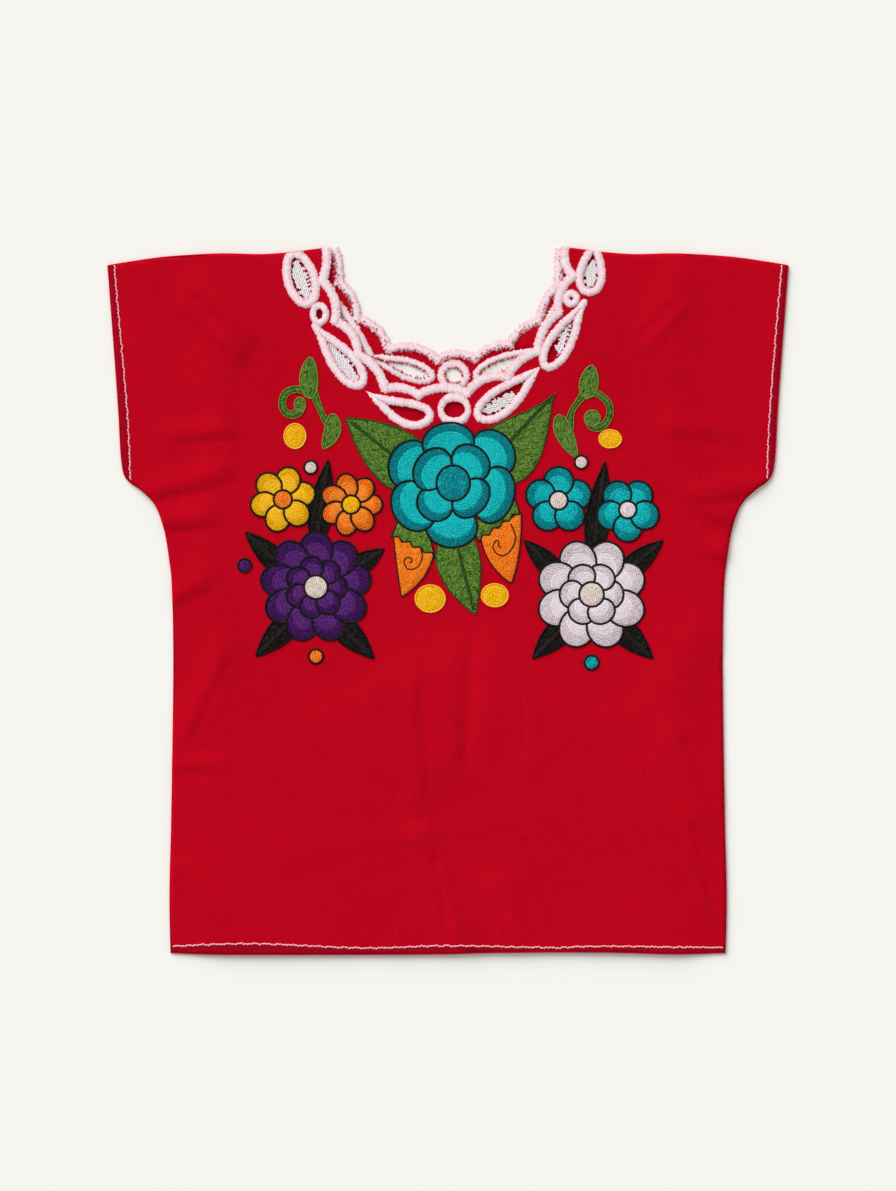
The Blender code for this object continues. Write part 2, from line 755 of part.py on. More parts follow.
def calyx_outline(row):
    start, end, inner_1, inner_2 = row[:2], row[2:4], row[4:6], row[6:8]
    along, left, length = across(start, end)
    edge = [start]
    for tooth in range(CALYX_TEETH):
        for share, depth in ((TOOTH_RISE, TOOTH_DEPTH), (TOOTH_FALL, 0.0)):
            run = length * (tooth + share) / CALYX_TEETH
            edge.append(
                (
                    start[0] + along[0] * run + left[0] * depth,
                    start[1] + along[1] * run + left[1] * depth,
                )
            )
    return anticlockwise([*edge, end, inner_1, inner_2])


def bud_outline(row):
    left, tip, right = row[:2], row[2:4], row[4:6]
    outline = bowed_side(left, tip, row[6]) + bowed_side(tip, right, row[7])
    return anticlockwise([*outline, right])


def corded_shapes():
    """The outlines of the front's corded petals and rings."""
    shapes = [petal(row) for row in FRONT_PETALS]
    return shapes + [oval(*row[:4]) for row in FRONT_RINGS]


def tendril_shapes(name):
    """A tendril's lobes, vines and coil end."""
    shapes = [petal(row) for row in LOBES[name]]
    for vine in VINES[name]:
        shapes += ribbon([row[:2] for row in vine], [row[2] for row in vine])
    return [*shapes, oval(*COIL_ENDS[name])]


def sewn_motifs():
    """Every patch of embroidery as name, shapes and thread, in the order of sewing."""
    motifs = [
        (name, [petal(row)], "leaf_thread") for name, row in LEAVES.items()
    ]
    motifs += [(name, [bud_outline(row)], "orange_thread") for name, row in BUDS.items()]
    motifs += [(name, [calyx_outline(row)], "leaf_thread") for name, row in CALYXES.items()]
    rose = [ring_petal(*ROSE_CENTRE, *row) for row in ROSE_PETALS]
    ground = oval(*ROSE_CENTRE, ROSE_GROUND, ROSE_GROUND)
    motifs.append(("rose", [ground, *rose, oval(*ROSE_CENTRE, *ROSE_HEART)], "teal_thread"))
    motifs += [(name, tendril_shapes(name), "vine_thread") for name in VINES]
    motifs += [(name, [oval(*row)], "yellow_thread") for name, row in DOTS.items()]
    for name, row in SPRAY_LEAVES.items():
        motifs.append((name, [petal((*row, EVEN, STRAIGHT))], "black_thread"))
    for name, (x, y, radius, thread) in BERRIES.items():
        motifs.append((name, [oval(x, y, radius, radius, count=DISC_CORNERS)], thread))
    for name, ((x, y, thread, heart_thread, radius), *rings) in BLOSSOMS.items():
        petals = [shape for ring in rings for shape in petal_ring(x, y, *ring)]
        motifs.append((name, petals, thread))
        motifs.append((name + "_heart", [oval(x, y, radius, radius)], heart_thread))
    return motifs


def box_of(shape):
    return [min(axis) for axis in zip(*shape)], [max(axis) for axis in zip(*shape)]


def are_near(shape, other):
    (low, high), (other_low, other_high) = box_of(shape), box_of(other)
    return all(
        low[axis] < other_high[axis] + CORD_WIDTH and other_low[axis] < high[axis] + CORD_WIDTH
        for axis in (0, 1)
    )


def make_embroidery():
    motifs = sewn_motifs()
    for index, (name, shapes, thread) in enumerate(motifs):
        later = [shape for _, others, _ in motifs[index + 1 :] for shape in others]
        if name in LEAVES:
            later += corded_shapes()
        over_it = [other for other in later if any(are_near(shape, other) for shape in shapes)]
        make_motif(name, shapes, over_it, thread)


def make_panels_and_cords():
    rose = next(shapes for name, shapes, _ in sewn_motifs() if name == "rose")
    back = (BACK_NECK, BACK_PETALS, BACK_RINGS)
    make_panel("back_panel", *back, lambda x, y: 0.0, lambda x, y: CLOTH, finest=None)
    make_cords("back_neck_cords", *back[:2], (), lambda x, y: CLOTH, over_it=[])
    make_cords("back_neck_ring", (), (), BACK_RINGS, lambda x, y: CLOTH, over_it=[])
    front = (FRONT_NECK, FRONT_PETALS, FRONT_RINGS)
    make_panel("front_panel", *front, front_under, front_over, finest=is_loose)
    make_cords("front_neck_cords", *front, front_over, over_it=[*rose, *beyond_the_folds()])


def main():
    for item in list(bpy.data.objects):
        bpy.data.objects.remove(item)
    make_panels_and_cords()
    make_embroidery()


main()
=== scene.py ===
"""Looks of a cap-sleeved huipil blouse that lies flat with its front upwards.

Thin creased cloth takes the place of the panels, and satin cords and raised embroidery are built
up thread by thread on padding.  Tables are in millimetres, with +Y to the shoulders, and a mesh is
in metres.  Every height is measured from the underside of the back.
"""

import math

import bpy
import numpy as np
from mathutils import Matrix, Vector, noise
from mathutils.geometry import delaunay_2d_cdt


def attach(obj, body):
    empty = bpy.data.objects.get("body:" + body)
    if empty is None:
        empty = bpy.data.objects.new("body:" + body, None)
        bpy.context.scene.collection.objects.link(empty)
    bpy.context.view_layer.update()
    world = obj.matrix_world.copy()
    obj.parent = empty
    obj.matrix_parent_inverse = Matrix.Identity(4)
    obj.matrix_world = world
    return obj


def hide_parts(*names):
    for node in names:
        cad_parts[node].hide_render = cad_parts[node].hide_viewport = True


MM = 0.001
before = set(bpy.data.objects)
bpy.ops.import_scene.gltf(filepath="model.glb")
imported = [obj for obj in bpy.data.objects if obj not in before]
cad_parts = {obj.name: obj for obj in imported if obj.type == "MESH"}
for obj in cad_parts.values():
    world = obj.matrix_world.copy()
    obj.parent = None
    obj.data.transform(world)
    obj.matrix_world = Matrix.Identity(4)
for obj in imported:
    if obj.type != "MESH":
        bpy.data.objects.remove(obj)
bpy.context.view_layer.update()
bpy.ops.object.select_all(action="DESELECT")
chance = np.random.default_rng(7)

# Cloth: thickness, and how high the two panels lie.
CLOTH_THICKNESS = 0.6
BACK_LOW = 0.05
BACK_TOP = BACK_LOW + CLOTH_THICKNESS
SEAM_TOP = 2.2
RIDE_TOP = 3.3
LOOSE_LIFT = 1.3
ROLL_FROM, ROLL_TO = 212.0, 262.0
FRONT_PITCH, BACK_PITCH = 4.0, 9.0
EDGE_STEP = 4.0

# Thread and padding.
CORD_WIDTH = 8.2
CORD_RISE = 0.62
PAD_RISE = 0.95
PAD_ROUNDING = 2.2
STITCH_PITCH = 0.85
THREAD_WIDTH = 1.15
THREAD_THICKNESS = 0.5
LEAST_STITCH = 0.7
FILL_LENGTH = 2.9
OUTLINE_STEP = 2.3
OUTLINE_WIDTH = 2.2
FINE_EDGE = 1.3
RIM_TONE = 0.72
OUTLINE_RISE = 0.85

# Half of the outline, from the hem corner up the side seam and the sleeve end to the shoulder.
#        half width, height
SIDE = (
    (269, -341.5), (270, -285), (268.2, -205), (266.3, -70), (267.4, 8), (270.4, 40),
    (275.8, 71), (284.5, 93), (298, 107), (311.5, 117.5), (316.6, 136), (319.6, 186),
    (324.2, 250), (329.9, 325),
)
UNDERARM_CORNER = 9
# The shoulder fold, from the sleeve corner to the neck.
#        half width, height
SHOULDER = (
    (329.9, 325), (312, 328.1), (272, 333.6), (222, 336.3), (180, 335.7), (148, 338),
)
HEM = (
    (-269, -341.5), (-216, -343), (-30, -342.8), (50, -341.1), (148, -340.8), (221, -342.6),
    (269, -341.5),
)

# Neck edges: the notches between the scallops, and how far the scallop after each bulges.
#        x, y, bulge
FRONT_NECK = (
    (-118.3, 341.3, 2.6), (-122.2, 309.6, 6), (-109.6, 270.7, 6.5), (-87.3, 238.1, 5.2),
    (-61.1, 205, 4), (-28.6, 198.8, 6.5), (18.4, 200.5, 7), (57.9, 216.1, 4.5), (86.8, 241, 5),
    (107, 278.8, 5.5), (121.3, 314.2, 4), (113.8, 342.6, 0),
)
BACK_NECK = (
    (-110.9, 340.8, 2.5), (-106.4, 308.1, 5.3), (-89.4, 274.2, 6), (-57.4, 243.3, 7),
    (-10.2, 233.3, 5.6), (25.9, 234.4, 4.5), (60.1, 247.8, 5), (88.7, 270.7, 4.3),
    (106.9, 304.8, 0), (108.1, 341.5, 0),
)
ARC_FULLNESS = 0.8
ARC_POINTS = 24

# Cutwork petals round the neck, each a corded hole.
#        tip x, tip y, end x, end y, width, sharpness of the tip (0 gives an oval),
#        bend to the left, cord width, where along it the hole starts
FRONT_PETALS = (
    (-151.4, 340.6, -133.8, 283.4, 34, 0.1, 0, 8.4, 0.14),
    (-130, 267, -81.7, 206, 29, 1, 0, 8, 0.21),
    (-79.8, 203.1, -14, 175.8, 28.6, 1.5, -5, 8, 0.3),
    (89.2, 226.5, 26.6, 175.5, 30.5, 1, 2.5, 7.9, 0.24),
    (132.5, 290, 93.1, 223.3, 28, 1, 0, 7.8, 0.24),
    (142.6, 351, 135.8, 294.8, 29.4, 1, 0, 7.8, 0.29),
)
BACK_PETALS = (
    (-124.3, 305.6, -71, 225, 19.5, 0, 0, 7.6, 0.2),
    (-78.1, 237.5, -12.6, 215.1, 22.5, 1, 0, 6.3, 0.24),
    (95.3, 245.4, 24.4, 216.3, 22.5, 1, 0, 6.3, 0.24),
    (117.4, 305, 95, 249, 19, 1, 0, 6.3, 0.24),
)
# Cutwork rings between the petals.
#        x, y, outer half width, outer half height, hole half width, hole half height
FRONT_RINGS = (
    (-124.5, 277.4, 9.6, 12, 2.1, 4.2),
    (6.2, 184.9, 16.4, 16.8, 9.3, 7.8),
    (119.3, 292.5, 8.8, 8.8, 2.1, 2.1),
)
# What the stitches leave open of each front ring: half width, half height
RING_GAPS = ((3.0, 5.0), (10.2, 7.6), (1.7, 1.7))
BACK_RINGS = ((5.5, 218.2, 15.6, 14.6, 8.6, 7.6),)
HOLE_SHARPNESS = 0.8
EVEN, STRAIGHT = 1.0, 0.0
HOLE_WIDENING = 1.3

# Satin patches of the back that show through the holes of the front.
#        tip x, tip y, end x, end y, width
BACK_PATCHES = (
    (-148, 329, -135.6, 292.8, 13),
    (-117, 249, -88, 211, 14),
    (140.5, 330.5, 136.2, 302.6, 11.6),
    (117.3, 268, 106, 237, 9.4),
    (69, 199.6, 33.4, 181.6, 12.6),
)

# The stiff, flat stretches that the embroidery makes, clear of the folds.
#        x, y, half width, half height
FLAT_ZONES = (
    (-127, 46, 88, 122),
    (137, 46, 90, 128),
    (0, 120, 105, 142),
    (0, 330, 180, 180),
    (-146, 190, 55, 70),
    (135, 190, 62, 72),
)
ZONE_FADE = 0.38

# Soft folds of the front: low ridges between two ends, which fade out more slowly past the ends.
END_FADE = 0.45
#        x1, y1, x2, y2, half width, height
FOLDS = (
    (-247, 302, -178, 222, 15, 2.4),
    (213, 304, 166, 236, 14, 2.2),
    (-262, 162, -176, 166, 12, 2),
    (172, 168, 262, 166, 13, 1.5),
    (-282, 108, -204, 128, 12, 2.2),
    (-278, 76, -204, 84, 12, 2.4),
    (-260, 6, -204, 38, 13, 2),
    (-250, -122, -216, -48, 14, 2),
    (-262, -160, -228, -158, 10, 1.4),
    (-254, -262, -228, -290, 12, 1.5),
    (240, 104, 288, 112, 12, 2),
    (212, 112, 262, 84, 13, 2.6),
    (214, 50, 264, 46, 12, 2.2),
    (210, 24, 242, -30, 13, 2.4),
    (224, -136, 250, -188, 13, 2),
    (236, -214, 250, -288, 12, 1.8),
    (40, -24, 38, -128, 17, 3),
    (-2, -36, 2, -150, 15, 2),
    (-34, -84, -26, -180, 14, 1.8),
    (-26, -236, 8, -314, 15, 2.8),
    (-146, -246, -30, -228, 14, 1.6),
    (-20, -228, 88, -210, 14, 1.4),
    (54, -284, 62, -322, 12, 1.6),
    (-70, -26, -36, -28, 11, 1.4),
    (72, -62, 78, -150, 14, 1.3),
)
# Finer creases beside them, pressed into the cloth.
#        x1, y1, x2, y2, half width, depth
CREASES = (
    (-240.6, 291.5, -167.8, 209, 5, 1.5),
    (-252, 278, -190, 196, 7, 0.6),
    (217.3, 299, 162, 225.5, 5, 1.5),
    (-250.3, 153.7, -163, 157.6, 4.5, 1.2),
    (167, 155.7, 263.8, 155.7, 5, 0.5),
    (-277.4, 97.5, -192.1, 116.9, 4.5, 1),
    (-274.5, 65.5, -192.1, 73.2, 4.5, 1.2),
    (-260, -4.4, -196.9, 24.7, 5, 1),
    (-245.4, -130.5, -211.5, -57.7, 5, 0.9),
    (-260, -167.3, -235.7, -167.3, 4, 0.8),
    (-255.1, -271.1, -226, -295.4, 4.5, 0.8),
    (244.4, 92.6, 283.2, 97.5, 4.5, 0.9),
    (210.5, 102.3, 259, 73.2, 6, 1.4),
    (213.4, 43.2, 265.8, 37.3, 4.5, 1),
    (210.5, 10.2, 244.4, -38.3, 5, 1.2),
    (205.6, 29.6, 263.8, -57.7, 5, 0.8),
    (229.9, -140.2, 254.1, -193.5, 5, 1.6),
    (239.6, -222.6, 256.1, -295.4, 4.5, 1.4),
    (23.3, -23.8, 16.5, -154.7, 6, 1.2),
    (40, -24, 38, -128, 17, 1.2),
    (-27.2, -86.8, -19.4, -183.8, 5, 1),
    (-32, -240.1, -12.6, -251.7, 4.5, 0.7),
    (-12.6, -251.7, 0, -319.6, 5, 1.3),
    (-146, -246, -30, -228, 14, 1.1),
    (-20, -228, 88, -210, 14, 1),
    (-143.6, -253.6, -22.3, -237.2, 4.5, 0.25),
    (-22.3, -237.2, 89.2, -217.8, 4.5, 0.2),
    (50.4, -290.5, 58.2, -324.5, 4.5, 0.9),
    (-66, -31.5, -32, -31.5, 4, 0.8),
    (69.8, -38.3, 74.7, -145, 5, 0.8),
)
# Narrow pleats that run up to the stiff neck, two to a crease.
#        x1, y1, x2, y2, half width, rise
PLEATS = (
    (-238.3, 298.5, -160.3, 228.5, 8, 2.2),
    (-251.7, 283.5, -175.7, 215.5, 8, 2.2),
    (226.1, 280.9, 163.1, 217.9, 7, 1.5),
    (213.9, 293.1, 152.9, 232.1, 7, 1.5),
)
PLEAT_FADE = 0.25
# Lines of topstitching on the hem and the sleeve ends.
HEM_STITCHING = (
    (-266.6, -335.1), (-188.2, -332.2), (-81.5, -336.6), (1.9, -334.2), (98.9, -336.1),
    (151.3, -334.7), (266.6, -336.4),
)
LEFT_STITCHING = ((-323.4, 325.0), (-316.8, 253.0), (-310.2, 176.0), (-307.6, 117.0))
RIGHT_STITCHING = ((323.5, 325.0), (317.4, 253.0), (311.3, 172.2), (309.3, 118.0))
HEM_TURNING = 9.5
TOPSTITCH_STEP = 3.9
TOPSTITCH_LENGTH = 4.3
TOPSTITCH_WIDTH = 1.5
TOPSTITCH_WAVES = ((0.45, 12.5), (0.34, 7.1))
TOPSTITCH_WANDER = 0.22
TOPSTITCH_SLANT = 0.42
TOPSTITCH_RISE = 0.42
TOPSTITCH_THICKNESS, TOPSTITCH_LEVEL, TOPSTITCH_TONE = 0.3, 0.45, 0.85
LINE_TONE_SPREAD = 0.08

# The rose: its petals are ovals round the centre, the outer ring sewn first.
ROSE_CENTRE = (5.0, 113.7)
#        angle, distance, half width along the ring, half width outwards
ROSE_PETALS = (
    (157, 45, 24.5, 20.8),
    (37, 48.3, 24.5, 20),
    (97, 39.5, 25.3, 19.3),
    (-92, 42.5, 25, 20),
    (-150, 44.3, 25.5, 20.8),
    (-16, 41, 28, 19.5),
    (-132, 26.5, 18, 16.5),
    (146, 24.5, 22, 17),
    (49, 26, 20, 16.5),
    (-40, 22.5, 21.5, 15.5),
)
ROSE_HEART = (16.3, 17.3)
# Broad leaves, from the tip to the end that the rose covers.
#        tip x, tip y, end x, end y, width, sharpness, bend to the left
LEAVES = {
    "leaf_left": (-99.1, 177, -19.1, 113.7, 55, 1, 0),
    "leaf_right": (103.8, 201.3, 31.5, 123.5, 60, 1.8, 6.8),
    "leaf_low": (26.4, -14, 4.9, 68, 42.5, 1, 2.9),
}
# A calyx is a jagged band between the rose and a bud: the ends of its teeth, then its hidden side.
#        start x, start y, end x, end y, inner x, inner y, inner x, inner y
CALYXES = {
    "calyx_left": (-55, 61.5, -12.6, 41, -20, 72, -44, 88),
    "calyx_right": (30.5, 57, 69.5, 83.5, 65, 99, 20, 74),
}
CALYX_TEETH, CALYX_STEP = 4, 2.0
TOOTH_DEPTH = 4.0
TOOTH_RISE, TOOTH_FALL = 0.55, 0.95
# A bud has two upper corners, under the calyx, and a tip, with bowed sides.
#        left x, left y, tip x, tip y, right x, right y, left bow, right bow
BUDS = {
    "bud_left": (-53.5, 66, -45.2, 3.5, -13.5, 46, 0.5, 6),
    "bud_right": (31.5, 63, 61.6, 16.5, 70.5, 86, 6.5, 3.5),
}
# The dark line that curls out of the middle of each bud to its calyx.
BUD_CURLS = {
    "bud_left": (
        (-37.5, 36.5), (-35, 38.5), (-36.5, 41.5), (-41, 41), (-42.5, 36), (-38, 30.5),
        (-31, 31.5), (-26.5, 37), (-25, 44), (-26.5, 50),
    ),
    "bud_right": (
        (51.5, 51.5), (48.8, 53), (49.2, 57), (46, 57.6), (43.6, 52), (47, 45.5), (54.5, 43.8),
        (61, 49), (65, 57.5), (64.5, 66), (60.5, 74),
    ),
}
# Tendrils: a coiling vine, its stem, and two lobes.
#        x, y, width
VINES = {
    "tendril_left": (
        (
            (-128, 196.4, 6.5), (-137.2, 202.3, 6.4), (-144.8, 204.5, 6.3),
            (-152.9, 203.4, 6.3), (-159.1, 198, 6.3), (-160.5, 188.7, 6.3),
            (-156.8, 181.7, 6.4), (-150.3, 179.8, 7), (-144.7, 183.6, 9), (-143.4, 189, 9.5),
        ),
        ((-130.5, 202, 8), (-124.4, 186.7, 5.2), (-120.1, 177, 5.5), (-113.5, 169, 9)),
    ),
    "tendril_right": (
        (
            (132.9, 197.8, 6), (142.6, 201, 6), (151, 196, 6), (156.3, 188.9, 6),
            (156.5, 179, 6), (151.8, 170.7, 6), (145.3, 167.3, 7), (138.6, 170, 8),
            (138.2, 177.5, 8),
        ),
        ((133, 202, 8), (125.1, 191, 5.2), (119.8, 182.8, 5.2), (116.6, 167, 10)),
    ),
}
#        tip x, tip y, end x, end y, width, sharpness, bend to the left
LOBES = {
    "tendril_left": (
        (-133, 235.6, -133.5, 195.4, 17.3, 0.25, -1.6),
        (-120.7, 147, -110.6, 180.6, 15.5, 0.35, -3.4),
    ),
    "tendril_right": (
        (139.7, 228, 133.9, 196.3, 17.8, 0.35, 0),
        (125.1, 138, 106.2, 179.5, 16.3, 0.6, 1.5),
    ),
}
#        x, y, half width, half height
COIL_ENDS = {
    "tendril_left": (-143.4, 189.5, 5.6, 7.2),
    "tendril_right": (139.8, 176.5, 7.7, 7.9),
}
DOTS = {
    "dot_left": (-148.2, 159.2, 10.5, 12.1),
    "dot_right": (157.1, 156.5, 10.9, 8.8),
    "dot_low_left": (-17.2, 1.8, 14.5, 13.2),
    "dot_low_right": (45.4, 5, 13, 11.1),
}
# The side sprays.  A blossom is one or two rings of oval petals round a heart of another colour.
#        x, y, colour, heart colour, heart radius,
#        then for each ring: petals, distance, half width along the ring, half width outwards, turn
BLOSSOMS = {
    "dahlia": (
        (-128, 13, "purple_thread", "cream_thread", 11.5),
        (9, 36, 16, 18, 10),
        (7, 19, 11.5, 11.5, 0),
    ),
    "daisy": (
        (-160, 98, "yellow_thread", "orange_thread", 9),
        (6, 19, 12, 13, 15),
    ),
    "marigold": (
        (-94, 93, "orange_thread", "yellow_thread", 9),
        (7, 18, 10.5, 12.5, 0),
    ),
    "camellia": (
        (139, 6, "white_thread", "cream_thread", 12),
        (8, 35, 17.5, 19, 22),
        (6, 19, 13.5, 12, 0),
    ),
    "anemone": (
        (107, 97, "teal_thread", "cream_thread", 9),
        (5, 18.5, 14.5, 14, 18),
    ),
    "primrose": (
        (174, 88, "teal_thread", "white_thread", 8.5),
        (5, 17.5, 14, 13.5, 54),
    ),
}
#        tip x, tip y, end x, end y, width
SPRAY_LEAVES = (
    (-116, 136, -127, 60, 23),
    (-196, 66, -158, 30, 21),
    (-62, 50, -98, 26, 20),
    (-186, -54, -146, -14, 24),
    (-72, -56, -112, -16, 24),
    (152, 134, 141, 48, 23),
    (208, 58, 168, 24, 21),
    (74, 58, 108, 24, 20),
    (198, -56, 158, -18, 24),
    (82, -56, 120, -18, 24),
)
#        x, y, radius, colour
BERRIES = (
    (-133, 129, 6.5, "cream_thread"),
    (-197, 34, 6.5, "purple_thread"),
    (-128, -54, 7, "orange_thread"),
    (129, 134, 6.5, "cream_thread"),
    (139, -60, 7, "teal_thread"),
)

# Thread colours as screen values, from the dark of a stitch to its light, and that of a pale rim.
#        dark, middle, light, rim
THREADS = {
    "white_thread": ((206, 182, 191), (231, 218, 223), (243, 234, 238), (243, 234, 238)),
    # The cord thread's dark pink end colours the sides of the cords: painted shade tinged by red
    # bounce light, and partly the red cloth showing through their thin edges.
    "cord_thread": ((246, 172, 186), (248, 222, 228), (248, 241, 244), (249, 244, 247)),
    "teal_thread": ((2, 118, 130), (4, 148, 156), (14, 196, 200), (30, 204, 206)),
    "green_thread": ((18, 68, 30), (82, 124, 40), (118, 154, 60), (142, 152, 88)),
    "yellow_thread": ((228, 160, 4), (248, 188, 8), (254, 204, 22), (254, 190, 84)),
    "orange_thread": ((226, 100, 14), (248, 126, 20), (254, 146, 44), (254, 160, 70)),
    "purple_thread": ((48, 12, 66), (72, 22, 98), (98, 42, 126), (104, 50, 130)),
    "cream_thread": ((206, 184, 174), (226, 208, 200), (240, 226, 220), (244, 232, 226)),
    "black_thread": ((8, 7, 7), (20, 17, 15), (38, 34, 32), (50, 46, 44)),
    "sewing_thread": ((250, 120, 136), (255, 148, 162), (255, 176, 188), (255, 184, 194)),
    "red_thread": ((146, 5, 24), (172, 10, 32), (190, 18, 42), (196, 28, 52)),
}
RED_CLOTH = ((160, 1, 20), (183, 3, 26), (202, 6, 33))
# A darker crimson: real on the hems where the cloth lies double, painted shade along the rolled
# edges.
HEM_AND_PAINTED_SHADE_CLOTH = (134, 5, 29)
FLOOR_COLOUR = (247, 246, 241)


def across(start, end):
    """The unit vector from start to end, its left-hand normal, and the distance."""
    start, end = np.array(start, float), np.array(end, float)
    length = math.dist(start, end)
    along = (end - start) / length
    return along, np.array((-along[1], along[0])), length


def units(steps):
    return steps / np.maximum(np.linalg.norm(steps, axis=1, keepdims=True), 1e-9)


def turned_left(steps):
    return np.column_stack((-steps[:, 1], steps[:, 0]))


def left_normals(path, closed=False):
    """The unit normal on the left of each point of a path."""
    if closed:
        return turned_left(units(np.roll(path, -1, axis=0) - np.roll(path, 1, axis=0)))
    return turned_left(units(np.gradient(path, axis=0)))


def heading(degrees):
    angle = math.radians(degrees)
    return np.array((math.cos(angle), math.sin(angle)))


def smoothstep(value):
    value = np.clip(value, 0.0, 1.0)
    return value * value * (3.0 - 2.0 * value)


def curve_through(points, step):
    """Points about a step apart on a smooth curve through the given ones, with both ends."""
    padded = np.array([points[0], *points, points[-1]], float)
    found = []
    for a, b, c, d in zip(padded, padded[1:], padded[2:], padded[3:]):
        count = max(1, round(math.dist(b[:2], c[:2]) / step))
        t = np.arange(count)[:, None] / count
        curve = 2 * b + (c - a) * t + (2 * a - 5 * b + 4 * c - d) * t * t
        found.append(0.5 * (curve + (3 * b - a - 3 * c + d) * t**3))
    return np.vstack([*found, padded[-1:]])


def scallop(start, end, bulge):
    """Points on a shallow arc from start to end, bulging to its left."""
    along, left, length = across(start, end)
    t = np.linspace(0, 1, ARC_POINTS)[:, None]
    rise = bulge * np.sin(np.pi * t) ** ARC_FULLNESS
    return np.array(start) + along * length * t + left * rise


def neck_scallops(rows):
    """The arcs of a neck edge from the left shoulder to the right, each with both its ends."""
    return [scallop(row[:2], after[:2], row[2]) for row, after in zip(rows, rows[1:])]


def mirrored(path):
    """The path on the other side of the middle, run the other way."""
    return (path * (-1, 1))[::-1]


def panel_outline(neck_rows):
    """The cut edge of a panel, anticlockwise from the left hem corner."""
    side, shoulder = curve_through(SIDE, EDGE_STEP), curve_through(SHOULDER, EDGE_STEP)
    neck = [arc[:-1] for arc in neck_scallops(neck_rows)] + [[neck_rows[-1][:2]]]
    path = [
        curve_through(HEM, EDGE_STEP)[:-1],
        side[:-1],
        shoulder,
        np.vstack(neck)[::-1],
        mirrored(shoulder)[:-1],
        mirrored(side)[:-1],
    ]
    return np.vstack(path)


def anticlockwise(ring):
    after = np.roll(ring, -1, axis=0)
    turned = np.sum(ring[:, 0] * after[:, 1] - after[:, 0] * ring[:, 1]) < 0
    return ring[::-1] if turned else ring


def petal(row, start=0.0, stop=1.0, inset=0.0, count=72):
    """A petal or leaf outline from its tip to its round end, or its middle part at an inset."""
    tip, end, width, sharpness, bend = row[:2], row[2:4], row[4] - 2 * inset, row[5], row[6]
    along, left, length = across(tip, end)
    if inset:
        sharpness *= HOLE_SHARPNESS
    angles = 2 * np.pi * np.arange(count) / count
    side = np.sin(angles) * np.sin(angles / 2) ** sharpness
    share = start + (stop - start) * (1 - np.cos(angles)) / 2
    offset = 0.5 * width * side / side.max() + 4 * bend * share * (1 - share)
    return anticlockwise(
        np.array(tip) + along * length * share[:, None] + left * offset[:, None]
    )


def oval(x, y, half_width, half_height, turn=0.0, count=48):
    angles = 2 * np.pi * np.arange(count) / count
    u, v = half_width * np.cos(angles), half_height * np.sin(angles)
    cosine, sine = math.cos(turn), math.sin(turn)
    return np.column_stack((x + u * cosine - v * sine, y + u * sine + v * cosine))


def petal_hole(row):
    """The hole in a corded petal: a like shape, a cord's width in and well short of the tip."""
    cord_width, start = row[7:]
    stop = 1 - cord_width / math.dist(row[:2], row[2:4])
    hole = petal(row, start, stop, cord_width, 48)
    return hole - left_normals(hole, closed=True) * HOLE_WIDENING


def panel_holes(petals, rings):
    holes = [petal_hole(row) for row in petals]
    for x, y, _, _, half_width, half_height in rings:
        holes.append(oval(x, y, half_width + HOLE_WIDENING, half_height + HOLE_WIDENING))
    return holes


def edge_distance(points, ring, closed=True):
    """How far each point lies from a ring or an open path."""
    a = ring if closed else ring[:-1]
    b = np.roll(ring, -1, axis=0) if closed else ring[1:]
    step = b - a
    size = np.maximum((step**2).sum(axis=1), 1e-12)
    nearest = np.full(len(points), np.inf)
    for start, along, length in zip(a, step, size):
        off = points - start
        t = np.clip(off @ along / length, 0, 1)
        nearest = np.minimum(nearest, ((off - t[:, None] * along) ** 2).sum(axis=1))
    return np.sqrt(nearest)


def inside(points, ring):
    """Which points lie inside a ring."""
    found = np.zeros(len(points), bool)
    x, y = points[:, 0], points[:, 1]
    for (ax, ay), (bx, by) in zip(ring, np.roll(ring, -1, axis=0)):
        if ay != by:
            crossing = (bx - ax) * (y - ay) / (by - ay) + ax
            found ^= ((ay > y) != (by > y)) & (x < crossing)
    return found


def ridges(x, y, rows):
    """How far a table of ridges raises the cloth at a point."""
    height = np.zeros_like(x)
    for x1, y1, x2, y2, half_width, rise in rows:
        along, left, length = across((x1, y1), (x2, y2))
        run = (x - x1) * along[0] + (y - y1) * along[1]
        aside = (x - x1) * left[0] + (y - y1) * left[1]
        beyond = np.maximum(np.maximum(-run, run - length), 0.0)
        height += rise * np.exp(-(aside**2 + END_FADE * beyond**2) / half_width**2)
    return height


def freedom(x, y, fade=ZONE_FADE):
    """0 on the stiff embroidered stretches of the front, 1 where its cloth is loose."""
    share = np.ones_like(x)
    for centre_x, centre_y, half_width, half_height in FLAT_ZONES:
        reach = np.hypot((x - centre_x) / half_width, (y - centre_y) / half_height)
        share *= smoothstep((reach - 1.0) / fade)
    return share


RIPPLES = ((0.011, 0.5), (0.027, 0.3), (0.07, 0.09))


def ripples(x, y):
    """Slight unevenness of worn-in cotton, at a few scales."""
    found = np.zeros(len(x))
    for pitch, height in RIPPLES:
        found += [height * noise.noise((px * pitch, py * pitch, height)) for px, py in zip(x, y)]
    return found


def front_top(x, y):
    """Height of the upper face of the front."""
    x, y = np.asarray(x, float), np.asarray(y, float)
    roll = 1.0 - smoothstep((np.abs(x) - ROLL_FROM) / (ROLL_TO - ROLL_FROM))
    loose = freedom(x, y)
    level = SEAM_TOP + (RIDE_TOP - SEAM_TOP + LOOSE_LIFT * loose) * roll
    level += ridges(x, y, PLEATS) * freedom(x, y, PLEAT_FADE)
    return level + (ridges(x, y, FOLDS) - ridges(x, y, CREASES)) * loose


def front_level(x, y):
    """Height of the front with the slight unevenness of its cloth."""
    return front_top(x, y) + ripples(x, y) * freedom(x, y)


def back_top(x, y):
    return np.full(np.shape(x), BACK_TOP)


def back_level(x, y):
    return np.full(np.shape(x), BACK_LOW)


# Mesh making.


